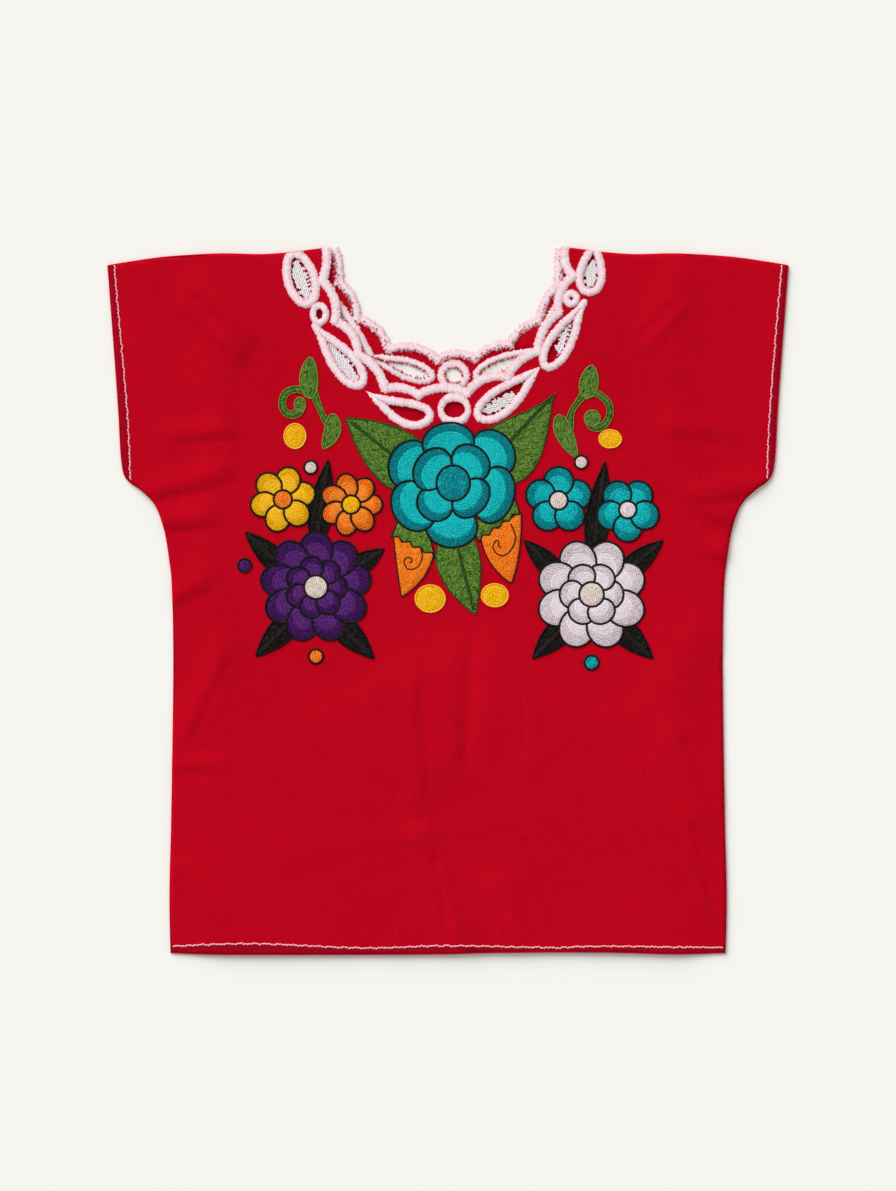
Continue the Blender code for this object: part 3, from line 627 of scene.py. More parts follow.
class Work:
    """The mesh of one piece as it is built up: points, triangles, and how the thread lies."""

    def __init__(self):
        self.points, self.faces, self.threads, self.count = [], [], [], 0

    def add(self, points, faces, thread=None):
        points = np.asarray(points, float).reshape(-1, 3)
        self.points.append(points)
        self.faces.append(np.asarray(faces, int).reshape(-1, 3) + self.count)
        if thread is None:
            thread = np.column_stack((np.full(len(points), PAD_TONE), points[:, :2]))
        self.threads.append(thread)
        self.count += len(points)

    def finish(self, name, material, slot, replaced=()):
        """Makes the piece, which rides on the blouse and stands for the named solids."""
        mesh = bpy.data.meshes.new(name)
        mesh.from_pydata(np.vstack(self.points) * MM, [], np.vstack(self.faces))
        mesh.attributes.new("thread", "FLOAT_VECTOR", "POINT").data.foreach_set(
            "vector", np.vstack(self.threads).astype(np.float32).ravel()
        )
        mesh.shade_smooth()
        mesh.materials.append(material)
        piece = bpy.data.objects.new(name, mesh)
        bpy.context.collection.objects.link(piece)
        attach(piece, "root")
        if replaced:
            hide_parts(*replaced)
        return piece


PAD_TONE = 0.25
RING_CORNERS = 4
THREAD_POINTS = 2 + 3 * RING_CORNERS
THREAD_ENDS = [0, 1, 2, 3, 4, 9, 10, 11, 12, 13]
STATIONS = np.array((0.0, 0.09, 0.5, 0.91, 1.0))
FATNESS = np.array((0.8, 1.0, 0.8))


def thread_faces():
    """The triangles of one spindle of thread: a point, three rings of four corners, a point."""
    faces = []
    for corner in range(RING_CORNERS):
        after = (corner + 1) % RING_CORNERS
        firsts = 1 + RING_CORNERS * np.arange(3)
        rings = [(first + corner, first + after) for first in firsts]
        faces.append((0, rings[0][1], rings[0][0]))
        for (a, b), (c, d) in zip(rings, rings[1:]):
            faces += [(a, b, d), (a, d, c)]
        faces.append((*rings[2], THREAD_POINTS - 1))
    return np.array(faces)


THREAD_FACES = thread_faces()


def stations_along(starts, ends):
    """The five places along each thread where its height is set."""
    return starts[:, None] + (ends - starts)[:, None] * STATIONS[:, None]


def heights_along(starts, ends, level):
    flat = stations_along(starts, ends).reshape(-1, 2)
    return level(flat[:, 0], flat[:, 1]).reshape(len(starts), -1)


def uneven_tones(tone, spread, count):
    return np.clip(chance.normal(tone, spread, count), 0, 1)


def lay_threads(
    work, starts, ends, heights, tones, width=THREAD_WIDTH, thickness=THREAD_THICKNESS, fade=0.0
):
    """Adds straight threads from starts to ends, at the given heights of their five stations."""
    count = len(starts)
    if not count:
        return
    length = np.linalg.norm(ends - starts, axis=1)
    left = turned_left(units(ends - starts))
    centre = stations_along(starts, ends)
    points = np.zeros((count, THREAD_POINTS, 3))
    thread = np.zeros((count, THREAD_POINTS, 3))
    points[:, 0, :2], points[:, 0, 2] = centre[:, 0], heights[:, 0]
    points[:, -1, :2], points[:, -1, 2] = centre[:, -1], heights[:, -1]
    for ring, fatness in enumerate(FATNESS):
        half_width, half_rise = width * fatness / 2, thickness * fatness / 2
        corners = ((half_width, 0), (0, half_rise), (-half_width, 0), (0, -half_rise))
        for corner, (aside, rise) in enumerate(corners):
            index = 1 + RING_CORNERS * ring + corner
            points[:, index, :2] = centre[:, ring + 1] + left * aside
            points[:, index, 2] = heights[:, ring + 1] + rise
            thread[:, index, 1] = length * STATIONS[ring + 1]
            thread[:, index, 2] = aside
    thread[:, -1, 1] = length
    thread[:, :, 0] = np.asarray(tones)[:, None]
    # Lower tone at both ends of a thread; on satin bands this paints shade on the band's sides.
    thread[:, THREAD_ENDS, 0] -= fade
    faces = THREAD_FACES + THREAD_POINTS * np.arange(count)[:, None, None]
    work.add(points, faces, thread.reshape(-1, 3))


def tube_faces(stations, corners, closed):
    """The triangles between the rings of a tube, and over its ends where it has any."""
    last = stations if closed else stations - 1
    index = np.arange(last)[:, None] * corners
    after = (np.arange(last)[:, None] + 1) % stations * corners
    here, there = np.arange(corners), (np.arange(corners) + 1) % corners
    quads = [index + here, index + there, after + there, after + here]
    a, b, c, d = (quad.ravel() for quad in quads)
    faces = np.vstack((np.column_stack((a, b, c)), np.column_stack((a, c, d))))
    if not closed:
        cap = [(0, k + 1, k) for k in range(1, corners - 1)]
        far = [(0, k, k + 1) for k in range(1, corners - 1)]
        faces = np.vstack((faces, cap, np.array(far) + (stations - 1) * corners))
    return faces


def spaced(outer, inner, pitch, closed):
    """Both edges of a band at equal steps along its middle."""
    if closed:
        outer, inner = np.vstack((outer, outer[:1])), np.vstack((inner, inner[:1]))
    middle = (outer + inner) / 2
    run = np.concatenate(([0], np.cumsum(np.linalg.norm(np.diff(middle, axis=0), axis=1))))
    count = max(3, round(run[-1] / pitch))
    at = np.linspace(0, run[-1], count + 1)
    at = at[:-1] if closed else at
    return [
        np.column_stack([np.interp(at, run, edge[:, axis]) for axis in (0, 1)])
        for edge in (outer, inner)
    ]


CORE_CORNERS = 8
CORE_PITCH = 2.4
CORE_SINK = 0.2
CORE_LEAST, CORE_DIVE = 0.1, 0.5
BAND_SLANT = 0.35
CORD_TONE, VINE_TONE = 0.62, 0.5
BAND_TONE_SPREAD = 0.09
# How far the tone drops at both ends of a satin stitch: painted shade on a band's sides, pink on
# the white cords, where it also stands for red showing through.
BAND_RIM_PAINTED_SHADE = 0.38
BAND_RAGGED = 0.36
TUFT, WILDEST, STRAY = 2, 1.7, 0.25
BAND_REACH = 0.75
PETAL_REACH = 0.3
BACK_RAGGED = 0.6
TRIM_STEPS, TRIM_SHARE = 12, 0.15
# The half width from which a band has its full rise, the core's share of it, the stitches' dip.
FULL_REACH, CORE_SHARE, STITCH_DIP = 2.2, 0.94, 0.05
ARCH = 1 - 0.5 * (2 * STATIONS - 1) ** 8


def tufted(spread, count):
    """Random steps for both ends of a row of threads, which neighbours share."""
    steps = chance.normal(0, spread, (2, count // TUFT + 1, 1))
    steps = np.repeat(np.clip(steps, -WILDEST * spread, WILDEST * spread), TUFT, axis=1)
    return steps[:, :count] + chance.normal(0, spread * STRAY, (2, count, 1))


def satin_band(
    work,
    outer,
    inner,
    level,
    closed,
    clear_of=(),
    tone=CORD_TONE,
    lift=0.0,
    ragged_by=BAND_RAGGED,
    reach_by=BAND_REACH,
):
    """Adds a rounded core between two edges and satin stitches across it, on level(x, y)."""
    edge_a, edge_b = spaced(outer, inner, CORE_PITCH, closed)
    middle, across_half = (edge_a + edge_b) / 2, (edge_b - edge_a) / 2
    reach = np.linalg.norm(across_half, axis=1)
    rise = CORD_RISE * np.minimum(1, reach / FULL_REACH) - CORE_SINK
    points = np.zeros((len(middle), CORE_CORNERS, 3))
    height = level(middle[:, 0], middle[:, 1]) + lift
    for ring in clear_of:
        under = inside(middle, ring)
        rise[under], height[under] = CORE_LEAST, height[under] - CORE_DIVE
    for corner in range(CORE_CORNERS):
        angle = 2 * np.pi * corner / CORE_CORNERS
        points[:, corner, :2] = middle + CORE_SHARE * across_half * math.cos(angle)
        points[:, corner, 2] = height + rise * math.sin(angle)
    if np.sum(left_normals(middle, closed) * across_half) < 0:
        points = points[:, ::-1]
    work.add(points, tube_faces(len(middle), CORE_CORNERS, closed))

    edge_a, edge_b = spaced(outer, inner, STITCH_PITCH, closed)
    middle, half = (edge_a + edge_b) / 2, (edge_b - edge_a) / 2
    along = units(turned_left(half))
    reach = np.linalg.norm(half, axis=1)
    ragged = tufted(ragged_by, len(middle))
    out = half / np.maximum(reach, 1e-9)[:, None]
    starts = edge_a - out * (reach_by + ragged[0]) - along * BAND_SLANT
    ends = edge_b + out * (reach_by + ragged[1]) + along * BAND_SLANT
    kept = reach > LEAST_STITCH / 2
    for ring in clear_of:
        kept &= ~inside(middle, ring)
        for _ in range(TRIM_STEPS):
            for tips in (starts, ends):
                under = inside(tips, ring)
                tips[under] += TRIM_SHARE * (middle[under] - tips[under])
    rise = CORD_RISE * np.minimum(1, reach / FULL_REACH)
    height = level(middle[:, 0], middle[:, 1]) + lift
    heights = height[:, None] + rise[:, None] * ARCH - THREAD_THICKNESS / 2
    heights[:, [0, -1]] -= STITCH_DIP
    tones = uneven_tones(tone, BAND_TONE_SPREAD, len(middle))
    lay_threads(work, starts[kept], ends[kept], heights[kept], tones[kept], fade=BAND_RIM_PAINTED_SHADE)


# How far the grid stays from an edge, in pitches, and how near two points are one.
EDGE_CLEARANCE, WELD = 0.55, 0.03


def cloth_sheet(outline, holes, top, pitch, extra=(), banded=None):
    """A closed sheet of cloth: a fine mesh within an outline, with a second face at the cloth's
    thickness.
    """
    low, high = outline.min(axis=0), outline.max(axis=0)
    row_pitch = pitch * math.sqrt(0.75)
    rows = np.arange(low[1], high[1], row_pitch)
    grid = []
    for row, y in enumerate(rows):
        x = np.arange(low[0] + 0.5 * pitch * (row % 2), high[0], pitch)
        grid.append(np.column_stack((x, np.full(len(x), y))))
    grid = np.vstack(grid)
    grid = grid[inside(grid, outline)]
    clear = np.ones(len(grid), bool)
    for ring in (outline, *holes):
        clear &= edge_distance(grid, ring) > EDGE_CLEARANCE * pitch
    for path, reach in HEM_RUNS:
        clear &= edge_distance(grid, path, closed=False) > reach
    loose = np.vstack([grid[clear], *extra])
    rings, corners = [], []
    for ring in (outline, *holes):
        rings.append(list(range(len(corners), len(corners) + len(ring))))
        corners += [Vector(point) for point in ring]
    corners += [Vector(point) for point in loose]
    found = delaunay_2d_cdt(corners, [], rings, 0, WELD, True)
    faces = np.array([face for face, cover in zip(found[2], found[5]) if set(cover) == {0}])
    used, faces = np.unique(faces, return_inverse=True)
    faces = faces.reshape(-1, 3)
    flat = np.array([found[0][index] for index in used])
    upper = np.column_stack((flat, top(flat[:, 0], flat[:, 1])))
    lower = upper - (0, 0, CLOTH_THICKNESS)
    count = len(flat)
    edges = np.vstack((faces[:, [0, 1]], faces[:, [1, 2]], faces[:, [2, 0]]))
    keys = edges[:, 0] * count + edges[:, 1]
    rim = edges[~np.isin(keys, edges[:, 1] * count + edges[:, 0])]
    a, b = rim[:, 0], rim[:, 1]
    wall = [np.column_stack(around) for around in ((a, a + count, b), (b, a + count, b + count))]
    shade = banded(flat) if banded else np.zeros(count)
    thread = np.column_stack((np.tile(shade, 2), np.vstack((flat, flat))))
    work = Work()
    work.add(np.vstack((upper, lower)), np.vstack((faces, faces[:, ::-1] + count, *wall)), thread)
    return work


# Materials.


def linear(colour):
    """Screen values as the linear colour that a node takes."""
    share = np.array(colour) / 255
    return (*np.where(share <= 0.04045, share / 12.92, ((share + 0.055) / 1.055) ** 2.4), 1.0)


class Recipe:
    """A material as it is put together, node by node."""

    def __init__(self, name, roughness, specular):
        self.material = bpy.data.materials.new(name)
        self.material.use_nodes = True
        self.tree = self.material.node_tree
        self.shader = self.tree.nodes["Principled BSDF"]
        self.shader.inputs["Roughness"].default_value = roughness
        self.shader.inputs["Specular IOR Level"].default_value = specular

    def node(self, kind, inputs=(), **settings):
        made = self.tree.nodes.new(f"ShaderNode{kind}")
        for name, value in settings.items():
            setattr(made, name, value)
        for name, value in dict(inputs).items():
            if isinstance(value, bpy.types.NodeSocket):
                self.tree.links.new(value, made.inputs[name])
            else:
                made.inputs[name].default_value = value
        return made

    def place(self):
        return self.node("TexCoord").outputs["Object"]

    def thread(self):
        """What the mesh says at each point: a tone, and two places in millimetres."""
        found = self.node("Attribute", attribute_name="thread").outputs["Vector"]
        return self.node("SeparateXYZ", {"Vector": found}).outputs

    def noise(self, place, scale, detail):
        found = self.node("TexNoise", {"Vector": place, "Scale": scale, "Detail": detail})
        return found.outputs["Fac"]

    def calculate(self, operation, first, second=0.0):
        return self.node("Math", {0: first, 1: second}, operation=operation).outputs[0]

    def times(self, first, second):
        return self.calculate("MULTIPLY", first, second)

    def plus(self, *shares):
        total = shares[0]
        for share in shares[1:]:
            total = self.calculate("ADD", total, share)
        return total

    def ramp(self, factor, places, colours):
        stops = self.node("ValToRGB", {"Fac": factor})
        elements = stops.color_ramp.elements
        for index, (at, colour) in enumerate(zip(places, colours)):
            stop = elements[index] if index < 2 else elements.new(at)
            stop.position, stop.color = at, linear(colour)
        return stops.outputs["Color"]

    def finish(self, colour, height, strength, distance):
        bumps = {"Height": height, "Strength": strength, "Distance": distance}
        bump = self.node("Bump", bumps).outputs["Normal"]
        self.tree.links.new(bump, self.shader.inputs["Normal"])
        self.tree.links.new(colour, self.shader.inputs["Base Color"])
        return self.material


THREAD_STOPS = (0.02, 0.4, 0.82, 0.99)
SPECKLE_SCALE, SPECKLE_SHARE = 650.0, 0.95
WEAR_SCALE, WEAR_SHARE = 90.0, 0.18
TWIST_ALONG, TWIST_ASIDE = 2 * math.pi / 0.9, 2 * math.pi / 1.1


def thread_material(name):
    """Shiny twisted thread: its tone, the way along it and across it come with the mesh."""
    make = Recipe(name, 0.55, 0.1)
    place = make.place()
    tone, along, aside = make.thread()
    speckle = make.noise(place, SPECKLE_SCALE, 2.0)
    drift = make.noise(place, WEAR_SCALE, 1.0)
    uneven = make.times(make.calculate("SUBTRACT", speckle, 0.5), SPECKLE_SHARE)
    worn = make.times(make.calculate("SUBTRACT", drift, 0.5), WEAR_SHARE)
    colour = make.ramp(make.plus(tone, uneven, worn), THREAD_STOPS, THREADS[name])
    turns = make.plus(make.times(along, TWIST_ALONG), make.times(aside, TWIST_ASIDE))
    height = make.plus(make.times(make.calculate("SINE", turns), 0.5), speckle)
    return make.finish(colour, height, 0.5, 0.00012)


CLOTH_STOPS = (0.28, 0.56, 0.84)
WEAVE = {"Scale": 620.0, "Distortion": 1.2, "Detail": 1.0, "Detail Scale": 2.0}
YARN_STRETCH = {"X": (1.0, 0.05, 0.05), "Y": (0.05, 1.0, 0.05)}
YARN_SCALE, GRAIN_SCALE, DYE_SCALE, MOTTLE_SCALE = 900.0, 1100.0, 7.0, 420.0
SLUB_SHARE, DYE_SHARE, WEAVE_SHARE, GRAIN_SHARE = 0.3, 0.22, 0.16, 0.3


def cloth_material(name):
    """Plain-woven cotton: crossing yarns, thicker yarns here and there, a slightly uneven dye."""
    make = Recipe(name, 0.9, 0.03)
    place = make.place()
    heights, yarns = [], []
    for way, stretch in YARN_STRETCH.items():
        weave = make.node("TexWave", {"Vector": place, **WEAVE}, bands_direction=way)
        heights.append(weave.outputs["Fac"])
        stretched = make.node("Mapping", {"Vector": place, "Scale": stretch}).outputs[0]
        yarns.append(make.noise(stretched, YARN_SCALE, 2.0))
    woven, slubs = make.times(*heights), make.plus(*yarns)
    grain = make.times(make.noise(place, GRAIN_SCALE, 1.0), GRAIN_SHARE)
    grain = make.plus(make.times(woven, WEAVE_SHARE), grain)
    dye = make.times(make.noise(place, DYE_SCALE, 3.0), DYE_SHARE)
    shade = make.plus(make.times(slubs, SLUB_SHARE), make.plus(dye, grain))
    plain = make.ramp(shade, CLOTH_STOPS, RED_CLOTH)
    # The mesh's thread tone mixes in the darker crimson: on the hems where the cloth lies double,
    # and as painted shade along the rolled shoulder and side edges.
    mottle = make.calculate("SUBTRACT", make.noise(place, MOTTLE_SCALE, 1.0), 0.2)
    hem_and_painted_shade = make.times(make.thread()["X"], make.times(mottle, 2.0))
    both = {0: hem_and_painted_shade, 6: plain, 7: linear(HEM_AND_PAINTED_SHADE_CLOTH)}
    colour = make.node("Mix", both, data_type="RGBA").outputs[2]
    return make.finish(colour, make.plus(woven, make.times(slubs, 0.8)), 0.4, 0.0001)


# The cloth, its folds at the shoulders and sides, and its turned hems.

RED = cloth_material("red_cloth")
YARN = {name: thread_material(name) for name in THREADS}

side_edge = curve_through(SIDE, EDGE_STEP)
corner = int(np.argmin(np.linalg.norm(side_edge - SIDE[UNDERARM_CORNER], axis=1)))
side_seam, sleeve_end = side_edge[: corner + 1], side_edge[corner:]
shoulder_fold = np.vstack((curve_through(SHOULDER, EDGE_STEP), [(132.0, 340.3), (115.0, 342.3)]))
hem_edge = curve_through(HEM, EDGE_STEP)
stitching = {
    "hem_topstitch": curve_through(HEM_STITCHING, EDGE_STEP),
    "left_sleeve_topstitch": curve_through(LEFT_STITCHING, EDGE_STEP),
    "right_sleeve_topstitch": curve_through(RIGHT_STITCHING, EDGE_STEP),
}
GROOVE_DEPTH, GROOVE_WIDTH, GROOVE_CLEARANCE = 0.12, 1.3, 3.4
GROOVE_MEAN, GROOVE_PULSE = 0.7, 0.3
GROOVE_ROWS, GROOVE_MARGIN = (-2.4, -1.2, 0.0, 1.2, 2.4), 0.8
HEM_FADE = 1.6
HEM_RUNS = [(path, GROOVE_CLEARANCE) for path in stitching.values()]


def evenly(path, step):
    """Points at equal steps along an open path."""
    run = np.concatenate(([0], np.cumsum(np.linalg.norm(np.diff(path, axis=0), axis=1))))
    at = np.linspace(0, run[-1], max(2, round(run[-1] / step)) + 1)
    return np.column_stack([np.interp(at, run, path[:, axis]) for axis in (0, 1)])


def front_cloth_top(x, y):
    """Height of the front with its ripples and the grooves that its topstitching draws in."""
    x, y = np.asarray(x, float), np.asarray(y, float)
    at = np.column_stack((x, y))
    height = front_level(x, y)
    for path in stitching.values():
        aside = edge_distance(at, path, closed=False)
        tight = GROOVE_MEAN + GROOVE_PULSE * np.sin((x + y) * 2 * np.pi / TOPSTITCH_STEP)
        height -= GROOVE_DEPTH * tight * np.exp(-((aside / GROOVE_WIDTH) ** 2))
    return height


groove_points = []
for path in stitching.values():
    row = evenly(path, TOPSTITCH_STEP / 2)[1:-1]
    groove_points += [row + left_normals(row) * shift for shift in GROOVE_ROWS]

front_outline, back_outline = panel_outline(FRONT_NECK), panel_outline(BACK_NECK)
groove_points = [row[edge_distance(row, front_outline) > GROOVE_MARGIN] for row in groove_points]


def hem_shade(flat):
    """1 between the topstitching and the edge, where the cloth lies double, and 0 elsewhere."""
    x, y = flat.T
    by_hem = np.interp(x, *stitching["hem_topstitch"].T) - y
    rows = [stitching[side][::-1] for side in ("left_sleeve_topstitch", "right_sleeve_topstitch")]
    beyond = [np.interp(y, row[:, 1], row[:, 0]) for row in rows]
    by_sleeve = np.maximum(beyond[0] - x, x - beyond[1])
    by_sleeve[y <= SIDE[UNDERARM_CORNER][1]] = -HEM_TURNING
    return smoothstep(np.maximum(by_hem, by_sleeve) / HEM_FADE)


front_work = cloth_sheet(
    front_outline,
    panel_holes(FRONT_PETALS, FRONT_RINGS),
    front_cloth_top,
    FRONT_PITCH,
    groove_points,
    hem_shade,
)
front_cloth = front_work.finish("front_cloth", RED, "red_cloth", ["front_panel"])
back_work = cloth_sheet(back_outline, panel_holes(BACK_PETALS, BACK_RINGS), back_top, BACK_PITCH)
back_cloth = back_work.finish("back_cloth", RED, "red_cloth", ["back_panel"])

FOLD_CORNERS = 10
SHOULDER_ROUNDING, SEAM_ROUNDING = 1.5, 0.9
# The tone given to every point of a roll, which paints shade on it as darker crimson where the
# edge curves down.
ROLL_PROUD, ROLL_LIFT, ROLL_PAINTED_SHADE = 0.15, 0.04, 1.1


def rolled_edge(name, path, half_width):
    """A closed roll of cloth that joins the edges of back and front along a path."""
    inward = left_normals(path)
    high = front_top(path[:, 0], path[:, 1]) + ROLL_LIFT
    middle, half = (high + BACK_LOW) / 2, (high - BACK_LOW) / 2
    points = np.zeros((len(path), FOLD_CORNERS, 3))
    for index in range(FOLD_CORNERS):
        angle = 2 * np.pi * index / FOLD_CORNERS
        aside = half_width * (1 + math.cos(angle)) - ROLL_PROUD
        points[:, index, :2] = path + inward * aside
        points[:, index, 2] = middle + half * math.sin(angle)
    # The whole roll takes the painted-shade tone.
    thread = np.zeros((points.size // 3, 3))
    thread[:, 0], thread[:, 1:] = ROLL_PAINTED_SHADE, points.reshape(-1, 3)[:, :2]
    work = Work()
    work.add(points, tube_faces(len(path), FOLD_CORNERS, False), thread)
    return work.finish(name, RED, "red_cloth")


# The turned edge of the front, then of the back, as (inward, up) from the cloth's outer face.
FRONT_TURNING = (
    (HEM_TURNING, -1.1),
    (HEM_TURNING, -0.62),
    (0.9, -0.6),
    (0.9, 0.03),
    (0.1, 0.02),
    (-0.35, -0.25),
    (-0.4, -0.7),
    (0, -1.1),
)
BACK_TURNING = tuple((inward, -up) for inward, up in FRONT_TURNING[::-1])


def turned_hem(name, path, profile, level):
    """The edge of a panel folded in and under, swept along the edge."""
    inward = left_normals(path)
    shape = np.array(profile)
    points = np.zeros((len(path), len(shape), 3))
    points[:, :, :2] = path[:, None] + inward[:, None] * shape[:, :1]
    flat = points[:, :, :2].reshape(-1, 2)
    level_there = level(flat[:, 0], flat[:, 1]).reshape(len(path), -1)
    points[:, :, 2] = level_there + shape[:, 1]
    work = Work()
    work.add(points, tube_faces(len(path), len(shape), False))
    return work.finish(name, RED, "red_cloth")


for name, path, rounding in (
    ("shoulder_fold", shoulder_fold, SHOULDER_ROUNDING),
    ("side_seam", side_seam, SEAM_ROUNDING),
):
    rolled_edge(f"right_{name}", path, rounding)
    rolled_edge(f"left_{name}", mirrored(path), rounding)
for name, path in (
    ("bottom_hem", hem_edge),
    ("right_sleeve_hem", sleeve_end),
    ("left_sleeve_hem", mirrored(sleeve_end)),
):
    turned_hem(f"front_{name}", path, FRONT_TURNING, front_level)
    turned_hem(f"back_{name}", path, BACK_TURNING, back_level)

# Topstitching.


def running_stitches(work, path):
    """Adds one line of separate stitches along a path."""
    at = evenly(path, TOPSTITCH_STEP / 3)
    run = np.arange(len(at)) * TOPSTITCH_STEP / 3
    shift = sum(size * np.sin(2 * np.pi * run / length) for size, length in TOPSTITCH_WAVES)
    at = evenly(at + left_normals(at) * shift[:, None], TOPSTITCH_STEP)
    middle = (at[:-1] + at[1:]) / 2
    along = units(at[1:] - at[:-1])
    left = turned_left(along)
    sway = chance.normal(0, TOPSTITCH_WANDER, (2, len(middle), 1))
    starts = middle - along * TOPSTITCH_LENGTH / 2 + left * (sway[0] - TOPSTITCH_SLANT)
    ends = middle + along * TOPSTITCH_LENGTH / 2 + left * (sway[1] + TOPSTITCH_SLANT)
    heights = heights_along(starts, ends, front_cloth_top)
    heights += TOPSTITCH_THICKNESS * (ARCH - TOPSTITCH_LEVEL) + TOPSTITCH_RISE
    tones = uneven_tones(TOPSTITCH_TONE, LINE_TONE_SPREAD, len(middle))
    lay_threads(work, starts, ends, heights, tones, TOPSTITCH_WIDTH, TOPSTITCH_THICKNESS)


for name, path in stitching.items():
    work = Work()
    running_stitches(work, path)
    work.finish(name, YARN["sewing_thread"], "white_thread")

# Satin cords round the neck and its cutwork.

NECK_OVERLAP = 2.0
NOTCH_LIFT = 0.18
FOLD_MARGIN = 0.6
RING_REACH = 0.1
LEAST_SLOPE, TIP_OVERLAP = 0.02, 0.2


def fan_oval(centre, degrees, distance, along_ring, outwards):
    """An oval petal at an angle and a distance from the centre of its blossom."""
    middle = np.array(centre) + distance * heading(degrees)
    return oval(*middle, outwards, along_ring, math.radians(degrees))


def below_the_fold(points):
    """The points, none of them past the shoulder's fold."""
    fold = np.vstack((SHOULDER, np.abs(FRONT_NECK[0][:2])))[::-1]
    highest = np.interp(np.abs(points[:, 0]), fold[:, 0], fold[:, 1]) - FOLD_MARGIN
    return np.column_stack((points[:, 0], np.minimum(points[:, 1], highest)))


def petal_band(row):
    """The outer and the inner edge of a petal's cord, which meet along the middle near the tip."""
    tip, bend, cord_width = row[:2], row[6], row[7]
    outer = petal(row, count=96)
    along, left, length = across(tip, row[2:4])
    inward = left_normals(outer, closed=True)
    share = (outer - tip) @ along / length
    aside = (outer - tip) @ left - 4 * bend * share * (1 - share)
    reach = np.abs(aside) / np.maximum(np.abs(inward @ left), LEAST_SLOPE)
    steps = np.where(share < 0.5, np.minimum(cord_width, reach + TIP_OVERLAP), cord_width)
    return below_the_fold(outer), below_the_fold(outer + inward * steps[:, None])


# The short bar of stitches that squares off some tips: how far along, half width
TIP_BAR = ((-1.2, 2.4), (0.4, 3.3), (4.0, 4.0), (8.0, 4.3))
BLUNT_PETALS = (FRONT_PETALS[1], FRONT_PETALS[4])


def blunt_tip(row):
    """The two edges of the bar of stitches across a petal's tip."""
    along, left, _ = across(row[:2], row[2:4])
    run, half = np.array(TIP_BAR).T
    middle = np.array(row[:2]) + run[:, None] * along
    return middle - half[:, None] * left, middle + half[:, None] * left


def overrun(before, end):
    """The point a little way past the end of a path."""
    step = end - before
    return end + step * (NECK_OVERLAP / max(math.hypot(*step), 1e-6))


def corded_edge(name, neck_rows, petals, rings, level, clear_of, replaced, ragged_by=BAND_RAGGED):
    """The satin cords of one neck edge: its scallops, its cutwork petals, and its rings."""
    work = Work()

    def cord(edges, closed, lift, reach_by=BAND_REACH):
        looks = {"lift": lift, "ragged_by": ragged_by, "reach_by": reach_by}
        satin_band(work, *edges, level, closed, clear_of, **looks)

    for index, arc in enumerate(neck_scallops(neck_rows)):
        first = [overrun(arc[1], arc[0])] if index else []
        last = [overrun(arc[-2], arc[-1])] if index < len(neck_rows) - 2 else []
        arc = np.vstack([*first, arc, *last])
        shift = left_normals(arc) * CORD_WIDTH / 2
        cord((arc - shift, arc + shift), False, NOTCH_LIFT * (index % 2))
    for row in petals:
        cord(petal_band(row), True, NOTCH_LIFT / 2, PETAL_REACH)
        if row in BLUNT_PETALS:
            satin_band(work, *blunt_tip(row), level, False, lift=NOTCH_LIFT, reach_by=0.0)
    for (*place, half_width, half_height, _, _), gap in zip(rings, RING_GAPS):
        edges = oval(*place, half_width, half_height), oval(*place, *gap)
        cord(edges, True, NOTCH_LIFT, RING_REACH)
    return work.finish(name, YARN["cord_thread"], "white_thread", replaced)


rose = [fan_oval(ROSE_CENTRE, *row) for row in ROSE_PETALS]
front_neck = (FRONT_NECK, FRONT_PETALS, FRONT_RINGS, front_top, rose)
back_neck = (BACK_NECK, BACK_PETALS, (), back_top, ())
corded_edge("front_neck_satin", *front_neck, ["front_neck_cords"])
corded_edge("back_neck_satin", *back_neck, ["back_neck_cords"], BACK_RAGGED)
ring_work = Work()
for *place, half_width, half_height, hole_width, hole_height in BACK_RINGS:
    edges = oval(*place, half_width, half_height), oval(*place, hole_width, hole_height)
    satin_band(ring_work, *edges, back_top, True, ragged_by=BACK_RAGGED)
ring_work.finish("back_ring_satin", YARN["cord_thread"], "white_thread", ["back_neck_ring"])

# Embroidery: patches in sewing order, each padded, filled with thread and edged.

FAN_REACH = 2.6
VINE_STEP, VINE_EDGE, VINE_SINK, CURL_STEP = 1.2, 0.9, 0.05, 1.6
LEAF_SLANT = 38.0
RIB_RUN, RIB_POINTS, RIB_ASIDE, RIB_WIDTH = (0.06, 0.9), 12, 0.9, 1.3
GREEN_EDGE, FAINT_EDGE = ("green_thread", 0.0), ("black_thread", 0.3)
BLACK_EDGE, PALE_EDGE = ("black_thread", 0.5), ("green_thread", RIM_TONE)
# How each kind of patch is sewn: its thread, the angle of its stitches, its tone, its edge.
SEWING = {
    "bud": ("orange_thread", 62, 0.5, BLACK_EDGE),
    "calyx": ("green_thread", 25, 0.55, BLACK_EDGE),
    "ground": ("teal_thread", 60, 0.3, None),
    "rose_heart": ("teal_thread", 58, 0.3, BLACK_EDGE),
    "lobe": ("green_thread", 70, 0.52, PALE_EDGE),
    "coil_end": ("green_thread", 40, 0.52, PALE_EDGE),
    "dot": ("yellow_thread", 72, 0.55, ("yellow_thread", 0.9)),
    "berry": (None, 50, 0.5, BLACK_EDGE),
    "heart": (None, 35, 0.5, BLACK_EDGE),
}
# The tones of a petal, from its middle to its rim, and how much of its depth the rim takes.
ROSE_TONES, BLOSSOM_TONES, BLOSSOM_BAND = (0.22, 0.86), (0.3, 0.74), 0.6
